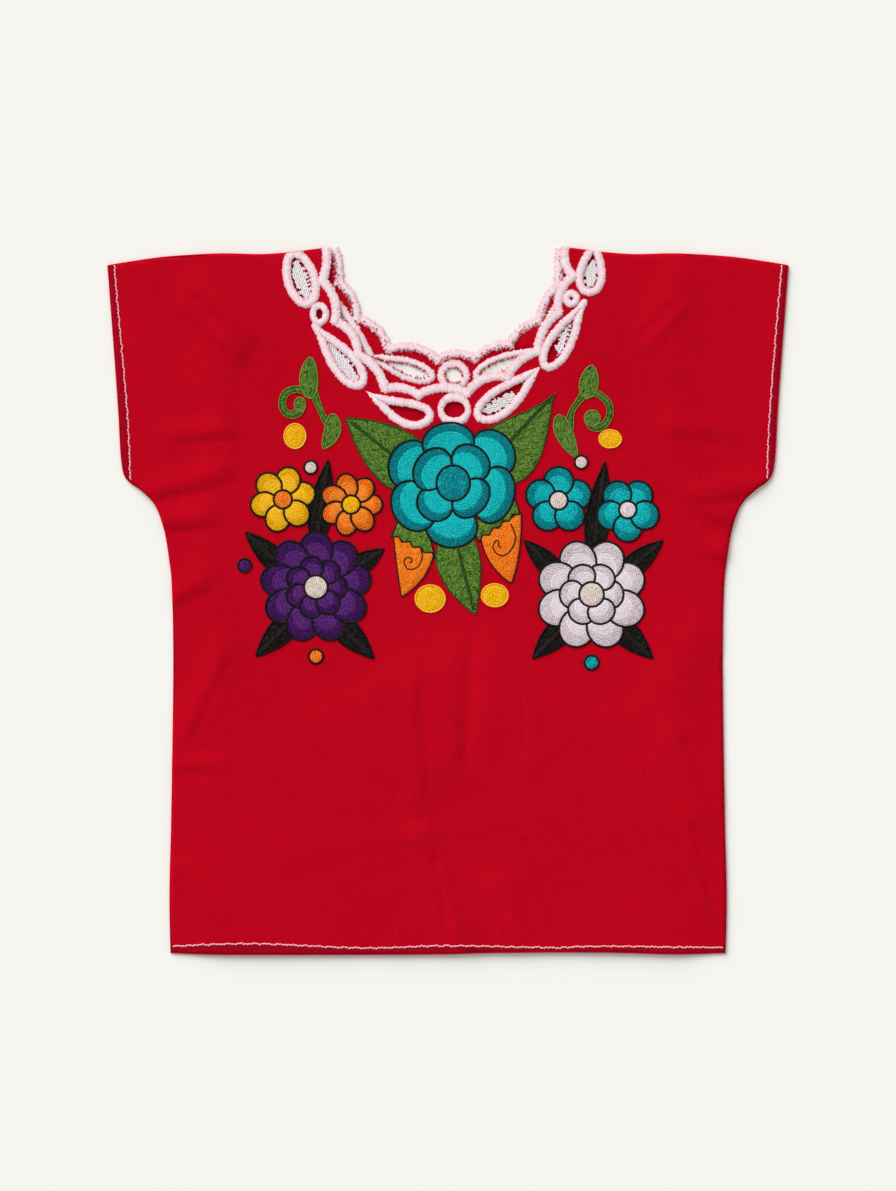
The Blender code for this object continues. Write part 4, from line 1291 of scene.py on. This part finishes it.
# The same of a rose petal in the inner ring and in the outer one, and where the two part.
ROSE_BANDS, INNER_RING = (0.52, 0.44), 35
ROSE_GROUND = (34, 34)
VEIN_TONES = {"green_thread": 0.0, "black_thread": 0.95}
VEIN_LIFT, CURL_LIFT = 0.5, 0.3


class Patch:
    """One embroidered shape: its outline, how its threads run, and its colours."""

    def __init__(self, piece, thread, ring, angle=None, focus=None, band=0.0, tone=0.5, edge=None):
        self.piece, self.thread, self.ring = piece, thread, ring
        self.angle, self.focus, self.band, self.tone, self.edge = angle, focus, band, tone, edge
        self.low, self.high = ring.min(axis=0), ring.max(axis=0)
        self.parts, self.veins, self.curl = [(ring, angle)], [], None

    def meets(self, other):
        margin = 1.0
        return bool(
            np.all(self.low < other.high + margin) and np.all(other.low < self.high + margin)
        )


def sewn(piece, ring, kind, thread=None):
    """A patch sewn in the way of its kind."""
    usual, angle, tone, edge = SEWING[kind]
    return Patch(piece, thread or usual, ring, angle=angle, tone=tone, edge=edge)


def fanned_petal(piece, thread, centre, row, band, tones):
    """An oval petal of a ring, whose threads fan outwards from behind it."""
    degrees, distance, _, outwards = row
    out, band = heading(degrees), band * outwards
    focus = np.array(centre) + distance * out - out * outwards * FAN_REACH
    ring = fan_oval(centre, *row)
    return Patch(piece, thread, ring, focus=focus, band=band, tone=tones, edge=BLACK_EDGE)


def leaf_patch(piece, thread, row, edge):
    """A leaf whose two halves are sewn slantwise from a midrib."""
    tip, end = row[:2], row[2:4]
    made = Patch(piece, thread, petal(row), edge=edge)
    along, left, length = across(tip, end)
    aside = (made.ring - tip) @ left
    axis = math.degrees(math.atan2(along[1], along[0]))
    made.parts = []
    for sign in (1, -1):
        half = made.ring[aside * sign >= -1e-6]
        order = np.argsort((half - tip) @ along)
        made.parts.append((half[order], axis + sign * (180 - LEAF_SLANT)))
    shares = np.linspace(*RIB_RUN, RIB_POINTS)
    rib = np.array([np.array(tip) + along * length * share for share in shares])
    made.veins = [rib + left * RIB_ASIDE, rib - left * RIB_ASIDE]
    return made


def bud_ring(row):
    left, tip, right = row[:2], row[2:4], row[4:6]
    sides = scallop(left, tip, -row[6])[:-1], scallop(tip, right, -row[7])
    return anticlockwise(np.vstack((*sides, curve_through((right, left), EDGE_STEP)[1:-1])))


def calyx_ring(row):
    start, end, inner_1, inner_2 = (np.array(row[at : at + 2]) for at in (0, 2, 4, 6))
    along, left, length = across(start, end)
    edge = [start]
    for tooth in range(CALYX_TEETH):
        for share, depth in ((TOOTH_RISE, TOOTH_DEPTH), (TOOTH_FALL, 0.0)):
            run = length * (tooth + share) / CALYX_TEETH
            edge.append(start + along * run + left * depth)
    corners = np.array([*edge, end, inner_1, inner_2])
    sides = np.stack((corners, np.roll(corners, -1, axis=0)), axis=1)
    return anticlockwise(np.vstack([evenly(side, CALYX_STEP)[:-1] for side in sides]))


def vine_band(rows):
    """Both edges of a vine of changing width."""
    path = curve_through(rows, VINE_STEP)
    route, widths = path[:, :2], path[:, 2:]
    shift = left_normals(route) * widths / 2
    return route - shift, route + shift


def all_patches():
    """Every embroidered shape in the order in which it is sewn."""
    found = []
    for name, row in LEAVES.items():
        found.append(leaf_patch(name, "green_thread", row, GREEN_EDGE))
    for name, row in BUDS.items():
        found.append(sewn(name, bud_ring(row), "bud"))
        found[-1].curl = BUD_CURLS[name]
    for name, row in CALYXES.items():
        found.append(sewn(name, calyx_ring(row), "calyx"))
    found.append(sewn("rose", oval(*ROSE_CENTRE, *ROSE_GROUND), "ground"))
    for row in ROSE_PETALS:
        band = ROSE_BANDS[row[1] > INNER_RING]
        found.append(fanned_petal("rose", "teal_thread", ROSE_CENTRE, row, band, ROSE_TONES))
    found.append(sewn("rose", oval(*ROSE_CENTRE, *ROSE_HEART), "rose_heart"))
    for name, lobes in LOBES.items():
        found += [sewn(name, petal(row), "lobe") for row in lobes]
        found.append(sewn(name, oval(*COIL_ENDS[name]), "coil_end"))
    for name, row in DOTS.items():
        found.append(sewn(name, oval(*row), "dot"))
    for number, row in enumerate(SPRAY_LEAVES, 1):
        row = (*row, EVEN, STRAIGHT)
        found.append(leaf_patch(f"spray_leaf_{number}", "black_thread", row, FAINT_EDGE))
    for number, (x, y, radius, thread) in enumerate(BERRIES, 1):
        found.append(sewn(f"berry_{number}", oval(x, y, radius, radius), "berry", thread))
    for name, ((x, y, thread, heart_thread, heart), *rings) in BLOSSOMS.items():
        for count, distance, along_ring, outwards, turn in rings:
            for index in range(count):
                row = (turn + 360 * index / count, distance, along_ring, outwards)
                looks = (BLOSSOM_BAND, BLOSSOM_TONES)
                found.append(fanned_petal(name, thread, (x, y), row, *looks))
        found.append(sewn(f"{name}_heart", oval(x, y, heart, heart), "heart", heart_thread))
    return found


def chords(ring, origin, along):
    """Where a line runs inside a ring, as pairs of distances from its origin."""
    side = (ring - origin) @ np.array((-along[1], along[0]))
    after_side, after = np.roll(side, -1), np.roll(ring, -1, axis=0)
    crossing = (side > 0) != (after_side > 0)
    share = (side[crossing] / (side[crossing] - after_side[crossing]))[:, None]
    at = ring[crossing] + (after[crossing] - ring[crossing]) * share
    return np.sort((at - origin) @ along).reshape(-1, 2)


def less(spans, cuts):
    """The spans of a line less the stretches that later shapes cover."""
    for low, high in cuts:
        spans = [
            part
            for start, end in spans
            for part in ((start, min(end, low)), (max(start, high), end))
            if part[1] - part[0] > LEAST_STITCH
        ]
    return spans


BAND_RAGGED_EDGE = 0.35
TONE_SPREAD = 0.12
FILL_TONE_SPREAD = 0.23
WIDEST_BAND, LEAST_PART = 0.55, 0.9
MARK_JITTER, MARK_MARGIN = 0.35, 1.0


def fill_lines(ring, angle, focus):
    """The lines along which a shape is filled: side by side, or fanned out from a focus."""
    if focus is None:
        along = heading(angle)
        left = np.array((-along[1], along[0]))
        offsets = ring @ left
        for offset in np.arange(offsets.min() + STITCH_PITCH / 2, offsets.max(), STITCH_PITCH):
            yield left * offset, along
    else:
        rays = ring - focus
        middle = rays.mean(axis=0)
        middle_angle = math.atan2(middle[1], middle[0])
        turned = np.arctan2(rays[:, 1], rays[:, 0]) - middle_angle
        turned = (turned + np.pi) % (2 * np.pi) - np.pi
        step = STITCH_PITCH / math.hypot(*middle)
        for turn in np.arange(turned.min() + step / 2, turned.max(), step):
            yield focus, np.array((math.cos(middle_angle + turn), math.sin(middle_angle + turn)))


def brick_marks(low, high, index):
    """Where one line of a fill goes down into the cloth: like the joints of laid bricks."""
    first = math.floor(low / FILL_LENGTH) * FILL_LENGTH
    marks = np.arange(first, high, FILL_LENGTH) + (index % 3) * FILL_LENGTH / 3
    marks = marks + chance.normal(0, MARK_JITTER, len(marks))
    return [low, *marks[(marks > low + MARK_MARGIN) & (marks < high - MARK_MARGIN)], high]


def two_toned(patch, own, edges):
    """The marks of a line with the change of tone among them, and the tone of each stretch."""
    low, high = edges[0], edges[-1]
    outer, inner = max(end for _, end in own), min(start for start, _ in own)
    band = min(patch.band, WIDEST_BAND * (outer - inner))
    line = outer - band + chance.normal(0, BAND_RAGGED_EDGE)
    edges = [mark for mark in edges if abs(mark - line) > LEAST_PART or mark in (low, high)]
    if low + MARK_MARGIN < line < high - MARK_MARGIN:
        edges = sorted([*edges, line])
    middles = (np.array(edges[1:]) + edges[:-1]) / 2
    tones = [patch.tone[int(middle < line)] for middle in middles]
    return edges, chance.normal(tones, TONE_SPREAD)


def patch_threads(patch, later):
    """The ends and the tone of each thread that fills a shape where nothing later covers it."""
    found = []
    for ring, angle in patch.parts:
        for index, (origin, along) in enumerate(fill_lines(ring, angle, patch.focus)):
            own = [tuple(span) for span in chords(ring, origin, along)]
            cuts = [span for other in later for span in chords(other, origin, along)]
            for low, high in less(own, cuts):
                edges = brick_marks(low, high, index)
                if patch.focus is None:
                    tones = chance.normal(patch.tone, FILL_TONE_SPREAD, len(edges) - 1)
                else:
                    edges, tones = two_toned(patch, own, edges)
                for start, end, tone in zip(edges, edges[1:], tones):
                    found.append((*(origin + along * start), *(origin + along * end), tone))
    return np.array(found).reshape(-1, 5)


PAD_RINGS = (1.0, 0.93, 0.8, 0.6, 0.35)
PAD_SINK = 0.12
FILL_ARCH, LIGHTEST_FILL = (-0.22, 0.05, 0.1, 0.05, -0.22), 0.93
FINEST_RING = 40
UNDER = 0.05


def dome(points, patch, later):
    """How far the padding raises the thread at each point of a shape: low along every edge."""
    reach = edge_distance(points, patch.ring)
    for other in later:
        reach = np.minimum(reach, edge_distance(points, other))
    return PAD_RISE * (1 - np.exp(-reach / PAD_ROUNDING))


def lay_padding(work, patch, later):
    """Adds the closed pad under a shape, which stays low where a later shape covers it."""
    ring = patch.ring[:: 2 if len(patch.ring) > FINEST_RING else 1]
    centre = ring.mean(axis=0)
    rings = np.array([centre + (ring - centre) * share for share in PAD_RINGS])
    flat = rings.reshape(-1, 2)
    rise = np.maximum(dome(flat, patch, later) - PAD_SINK, UNDER)
    for other in later:
        rise[inside(flat, other)] = UNDER
    level = front_top(flat[:, 0], flat[:, 1]) + rise
    level = level.reshape(len(rings), -1)
    base = front_top(ring[:, 0], ring[:, 1]) - UNDER
    corners = len(ring)
    points = np.zeros((len(rings) + 1, corners, 3))
    points[0, :, :2], points[0, :, 2] = ring, base
    points[1:, :, :2], points[1:, :, 2] = rings, level
    middle_level = level[-1].mean()
    points = np.vstack((points.reshape(-1, 3), [(*centre, base.mean()), (*centre, middle_level)]))
    here = np.arange(corners)
    there = (here + 1) % corners
    faces = []
    for row in range(len(rings)):
        a, b = row * corners + here, row * corners + there
        c, d = a + corners, b + corners
        faces += [np.column_stack((a, b, d)), np.column_stack((a, d, c))]
    low, high = len(points) - 2, len(points) - 1
    last = len(rings) * corners
    faces.append(np.column_stack((there, here, np.full(corners, low))))
    faces.append(np.column_stack((last + here, last + there, np.full(corners, high))))
    tone = patch.tone if patch.focus is None else patch.tone[0]
    thread = np.column_stack((np.full(len(points), tone), points[:, :2]))
    work.add(points, np.vstack(faces), thread)


def lay_filling(work, patch, later):
    rows = patch_threads(patch, later)
    if not len(rows):
        return
    starts, ends, tones = rows[:, :2], rows[:, 2:4], np.clip(rows[:, 4], 0, LIGHTEST_FILL)
    flat = stations_along(starts, ends).reshape(-1, 2)
    heights = front_top(flat[:, 0], flat[:, 1]) + dome(flat, patch, later)
    heights = heights.reshape(len(rows), -1) + FILL_ARCH
    lay_threads(work, starts, ends, heights, tones)


def visible(path, hidden_by, margin=0.5):
    """Which points of a path no other shape covers."""
    shown = np.ones(len(path), bool)
    for ring in hidden_by:
        covered = inside(path, ring)
        covered[covered] = edge_distance(path[covered], ring) > margin
        shown &= ~covered
    return shown


LINE_SINK, LINE_THICKNESS, LINE_JITTER, LINE_OVERLAP = 0.2, 0.75, 0.09, 0.2


def lay_line(work, path, tone, hidden_by, rise, width=OUTLINE_WIDTH):
    """Adds a line of small stitches, in the runs of the path that nothing covers."""
    shown = visible(path, hidden_by)
    starts, ends = path[:-1], path[1:]
    kept = shown[:-1] & shown[1:]
    starts, ends = starts[kept], ends[kept]
    if not len(starts):
        return
    step = ends - starts
    jitter = chance.normal(0, LINE_JITTER, (2, len(starts), 2))
    longer = LINE_OVERLAP * step
    starts, ends = starts - longer + jitter[0], ends + longer + jitter[1]
    heights = heights_along(starts, ends, front_top) + rise
    heights[:, [0, -1]] -= LINE_SINK
    tones = uneven_tones(tone, LINE_TONE_SPREAD, len(starts))
    lay_threads(work, starts, ends, heights, tones, width, LINE_THICKNESS)


works = {}


def work_for(piece, thread):
    return works.setdefault(piece, (Work(), thread))[0]


patches = all_patches()
outlines = Work()
EDGE_WIDTHS = {name: FINE_EDGE for name in (*LEAVES, *BUDS, *CALYXES, *VINES, *DOTS)}
corded_rings = [petal(row) for row in FRONT_PETALS]
for index, patch in enumerate(patches):
    twins = [
        other for other in patches if other is not patch and patch.piece == other.piece in VINES
    ]
    later = [
        other.ring
        for other in patches[index + 1 :]
        if patch.meets(other) and other not in twins
    ]
    siblings = [other.ring for other in twins]
    if patch.piece in LEAVES:
        later += corded_rings
    work = work_for(patch.piece, patch.thread)
    lay_padding(work, patch, later)
    lay_filling(work, patch, later)
    for vein in patch.veins:
        tone = VEIN_TONES[patch.thread]
        lay_line(work, evenly(vein, OUTLINE_STEP), tone, later, PAD_RISE + VEIN_LIFT, RIB_WIDTH)
    if patch.curl:
        curl = curve_through(patch.curl, CURL_STEP)
        lay_line(outlines, curl, BLACK_EDGE[1], later, PAD_RISE + CURL_LIFT, RIB_WIDTH)
    if patch.edge:
        thread, tone = patch.edge
        ring = evenly(np.vstack((patch.ring, patch.ring[:1])), OUTLINE_STEP)
        line_work = outlines if thread == "black_thread" and patch.thread != thread else work
        width = EDGE_WIDTHS.get(patch.piece, OUTLINE_WIDTH)
        lay_line(line_work, ring, tone, later + siblings, OUTLINE_RISE, width)

for name, routes in VINES.items():
    work = work_for(name, "green_thread")
    siblings = [patch.ring for patch in patches if patch.piece == name]
    bands = [vine_band(rows) for rows in routes]
    for index, (right, left) in enumerate(bands):
        lift = -VINE_SINK * index
        looks = {"tone": VINE_TONE, "lift": lift, "reach_by": 0.0}
        satin_band(work, right, left, front_top, False, **looks)
        rest = [np.vstack((a, b[::-1])) for k, (a, b) in enumerate(bands) if k != index]
        for side in (right, left):
            path = evenly(side, OUTLINE_STEP)
            lay_line(work, path, RIM_TONE, siblings + rest, OUTLINE_RISE, VINE_EDGE)

for piece, (work, thread) in works.items():
    work.finish(f"{piece}_embroidery", YARN[thread], thread, [piece])
outlines.finish("outline_stitches", YARN["black_thread"], "black_thread")

# White satin of the back, seen through the holes of the front.

PATCH_RAGGED, PATCH_INSET, PATCH_TURN = 2.4, 2.6, 12
PATCH_TONE, PATCH_TONE_SPREAD, PATCH_RISE = 0.98, 0.16, 1.9
patch_work = Work()
for tip_x, tip_y, end_x, end_y, width in BACK_PATCHES:
    ring = petal((tip_x, tip_y, end_x, end_y, width, 0.1, STRAIGHT))
    left = across((tip_x, tip_y), (end_x, end_y))[1]
    angle = math.degrees(math.atan2(left[1], left[0])) + PATCH_TURN
    lines = [
        (origin, way, span)
        for origin, way in fill_lines(ring, angle, None)
        for span in chords(ring, origin, way)
        if span[1] - span[0] > LEAST_STITCH
    ]
    pieces = []
    for index, (origin, way, span) in enumerate(lines):
        if index % TUFT == 0:
            before, after = chance.uniform(-PATCH_INSET, PATCH_RAGGED, 2)
        edges = brick_marks(span[0] - before, span[1] + after, index)
        ends = zip(edges, edges[1:])
        pieces += [(*(origin + way * low), *(origin + way * high)) for low, high in ends]
    pieces = np.array(pieces)
    heights = np.tile(BACK_TOP + PATCH_RISE * ARCH, (len(pieces), 1))
    tones = uneven_tones(PATCH_TONE, PATCH_TONE_SPREAD, len(pieces))
    lay_threads(patch_work, pieces[:, :2], pieces[:, 2:], heights, tones)
patch_work.finish("back_satin_patches", YARN["cord_thread"], "white_thread")

# Frayed ends of red yarn along the cords of the back.

FRAY_STEP, FRAY_SHARE, FRAY_RISE = 1.25, 0.6, 0.75
FRAY_ASIDE, FRAY_SPREAD = -CORD_WIDTH / 2, 2.0
FRAY_LEAST, FRAY_SHORT, FRAY_LONG, FRAY_SWAY = 0.3, 1.0, 1.9, 0.5
FRAY_WIDTH, FRAY_THICKNESS, FRAY_TONES = 0.95, 0.4, (0.1, 0.8)


def fray(work, ring, closed=True, spread=0.0):
    """Adds short ends of yarn that cross an edge here and there, or lie within a spread of it."""
    path = evenly(np.vstack((ring, ring[:1])) if closed else ring, FRAY_STEP)
    path = path[chance.random(len(path)) < FRAY_SHARE]
    out = left_normals(path)
    path = path + out * chance.uniform(-spread, spread, (len(path), 1))
    longest = FRAY_SHORT if spread else FRAY_LONG
    reach = chance.uniform(FRAY_LEAST, longest, (2, len(path), 1))
    sway = chance.normal(0, FRAY_SWAY, (len(path), 2))
    starts, ends = path - out * reach[0], path + out * reach[1] + sway
    heights = np.tile(BACK_TOP + CORD_RISE + FRAY_RISE * ARCH, (len(path), 1))
    tones = chance.uniform(*FRAY_TONES, len(path))
    lay_threads(work, starts, ends, heights, tones, FRAY_WIDTH, FRAY_THICKNESS)


fray_work = Work()
for row in BACK_PETALS:
    fray(fray_work, petal_band(row)[1])
for x, y, _, _, half_width, half_height in BACK_RINGS:
    fray(fray_work, oval(x, y, half_width, half_height))
for arc in neck_scallops(BACK_NECK):
    fray(fray_work, arc + left_normals(arc) * FRAY_ASIDE, closed=False)
    fray(fray_work, arc + left_normals(arc) * FRAY_ASIDE / 2, closed=False, spread=FRAY_SPREAD)
fray_work.finish("back_frayed_ends", YARN["red_thread"], "red_cloth")

# The floor, the light and the camera.

FLOOR_LEVEL, FLOOR_SIZE = -0.0004, 60.0
WORLD_COLOUR, WORLD_STRENGTH = (1.0, 0.995, 0.985, 1.0), 0.5
SUN_PLACE = (-1.7, 2.4, 1.55)
SUN_STRENGTH, SUN_SPREAD = 3.35, 0.85
bpy.ops.mesh.primitive_plane_add(size=FLOOR_SIZE, location=(0, 0, FLOOR_LEVEL))
floor = bpy.context.object
floor.name = "floor"
paint = Recipe("floor_paint", 0.9, 0.1)
paint.shader.inputs["Base Color"].default_value = linear(FLOOR_COLOUR)
floor.data.materials.append(paint.material)

world = bpy.data.worlds.new("studio")
world.use_nodes = True
sky = world.node_tree.nodes["Background"].inputs
sky["Color"].default_value, sky["Strength"].default_value = WORLD_COLOUR, WORLD_STRENGTH
bpy.context.scene.world = world

sun = bpy.data.lights.new("sun", "SUN")
sun.energy, sun.angle = SUN_STRENGTH, SUN_SPREAD
sun_stand = bpy.data.objects.new("sun", sun)
sun_stand.location = SUN_PLACE
sun_stand.rotation_euler = (-Vector(SUN_PLACE)).to_track_quat("-Z", "Y").to_euler()
bpy.context.collection.objects.link(sun_stand)

VIEW_DISTANCE = 2.5
VIEW_CENTRE = (0.0, 0.00485)
VIEW_HEIGHT = 1.1553
SENSOR = 36.0
camera = bpy.data.cameras.new("camera")
camera.sensor_width = SENSOR
camera.lens = SENSOR * VIEW_DISTANCE / VIEW_HEIGHT
camera.clip_end = FLOOR_SIZE
viewer = bpy.data.objects.new("camera", camera)
viewer.location = (*VIEW_CENTRE, VIEW_DISTANCE)
bpy.context.collection.objects.link(viewer)
bpy.context.scene.camera = viewer
bpy.context.scene.view_settings.view_transform = "Standard"
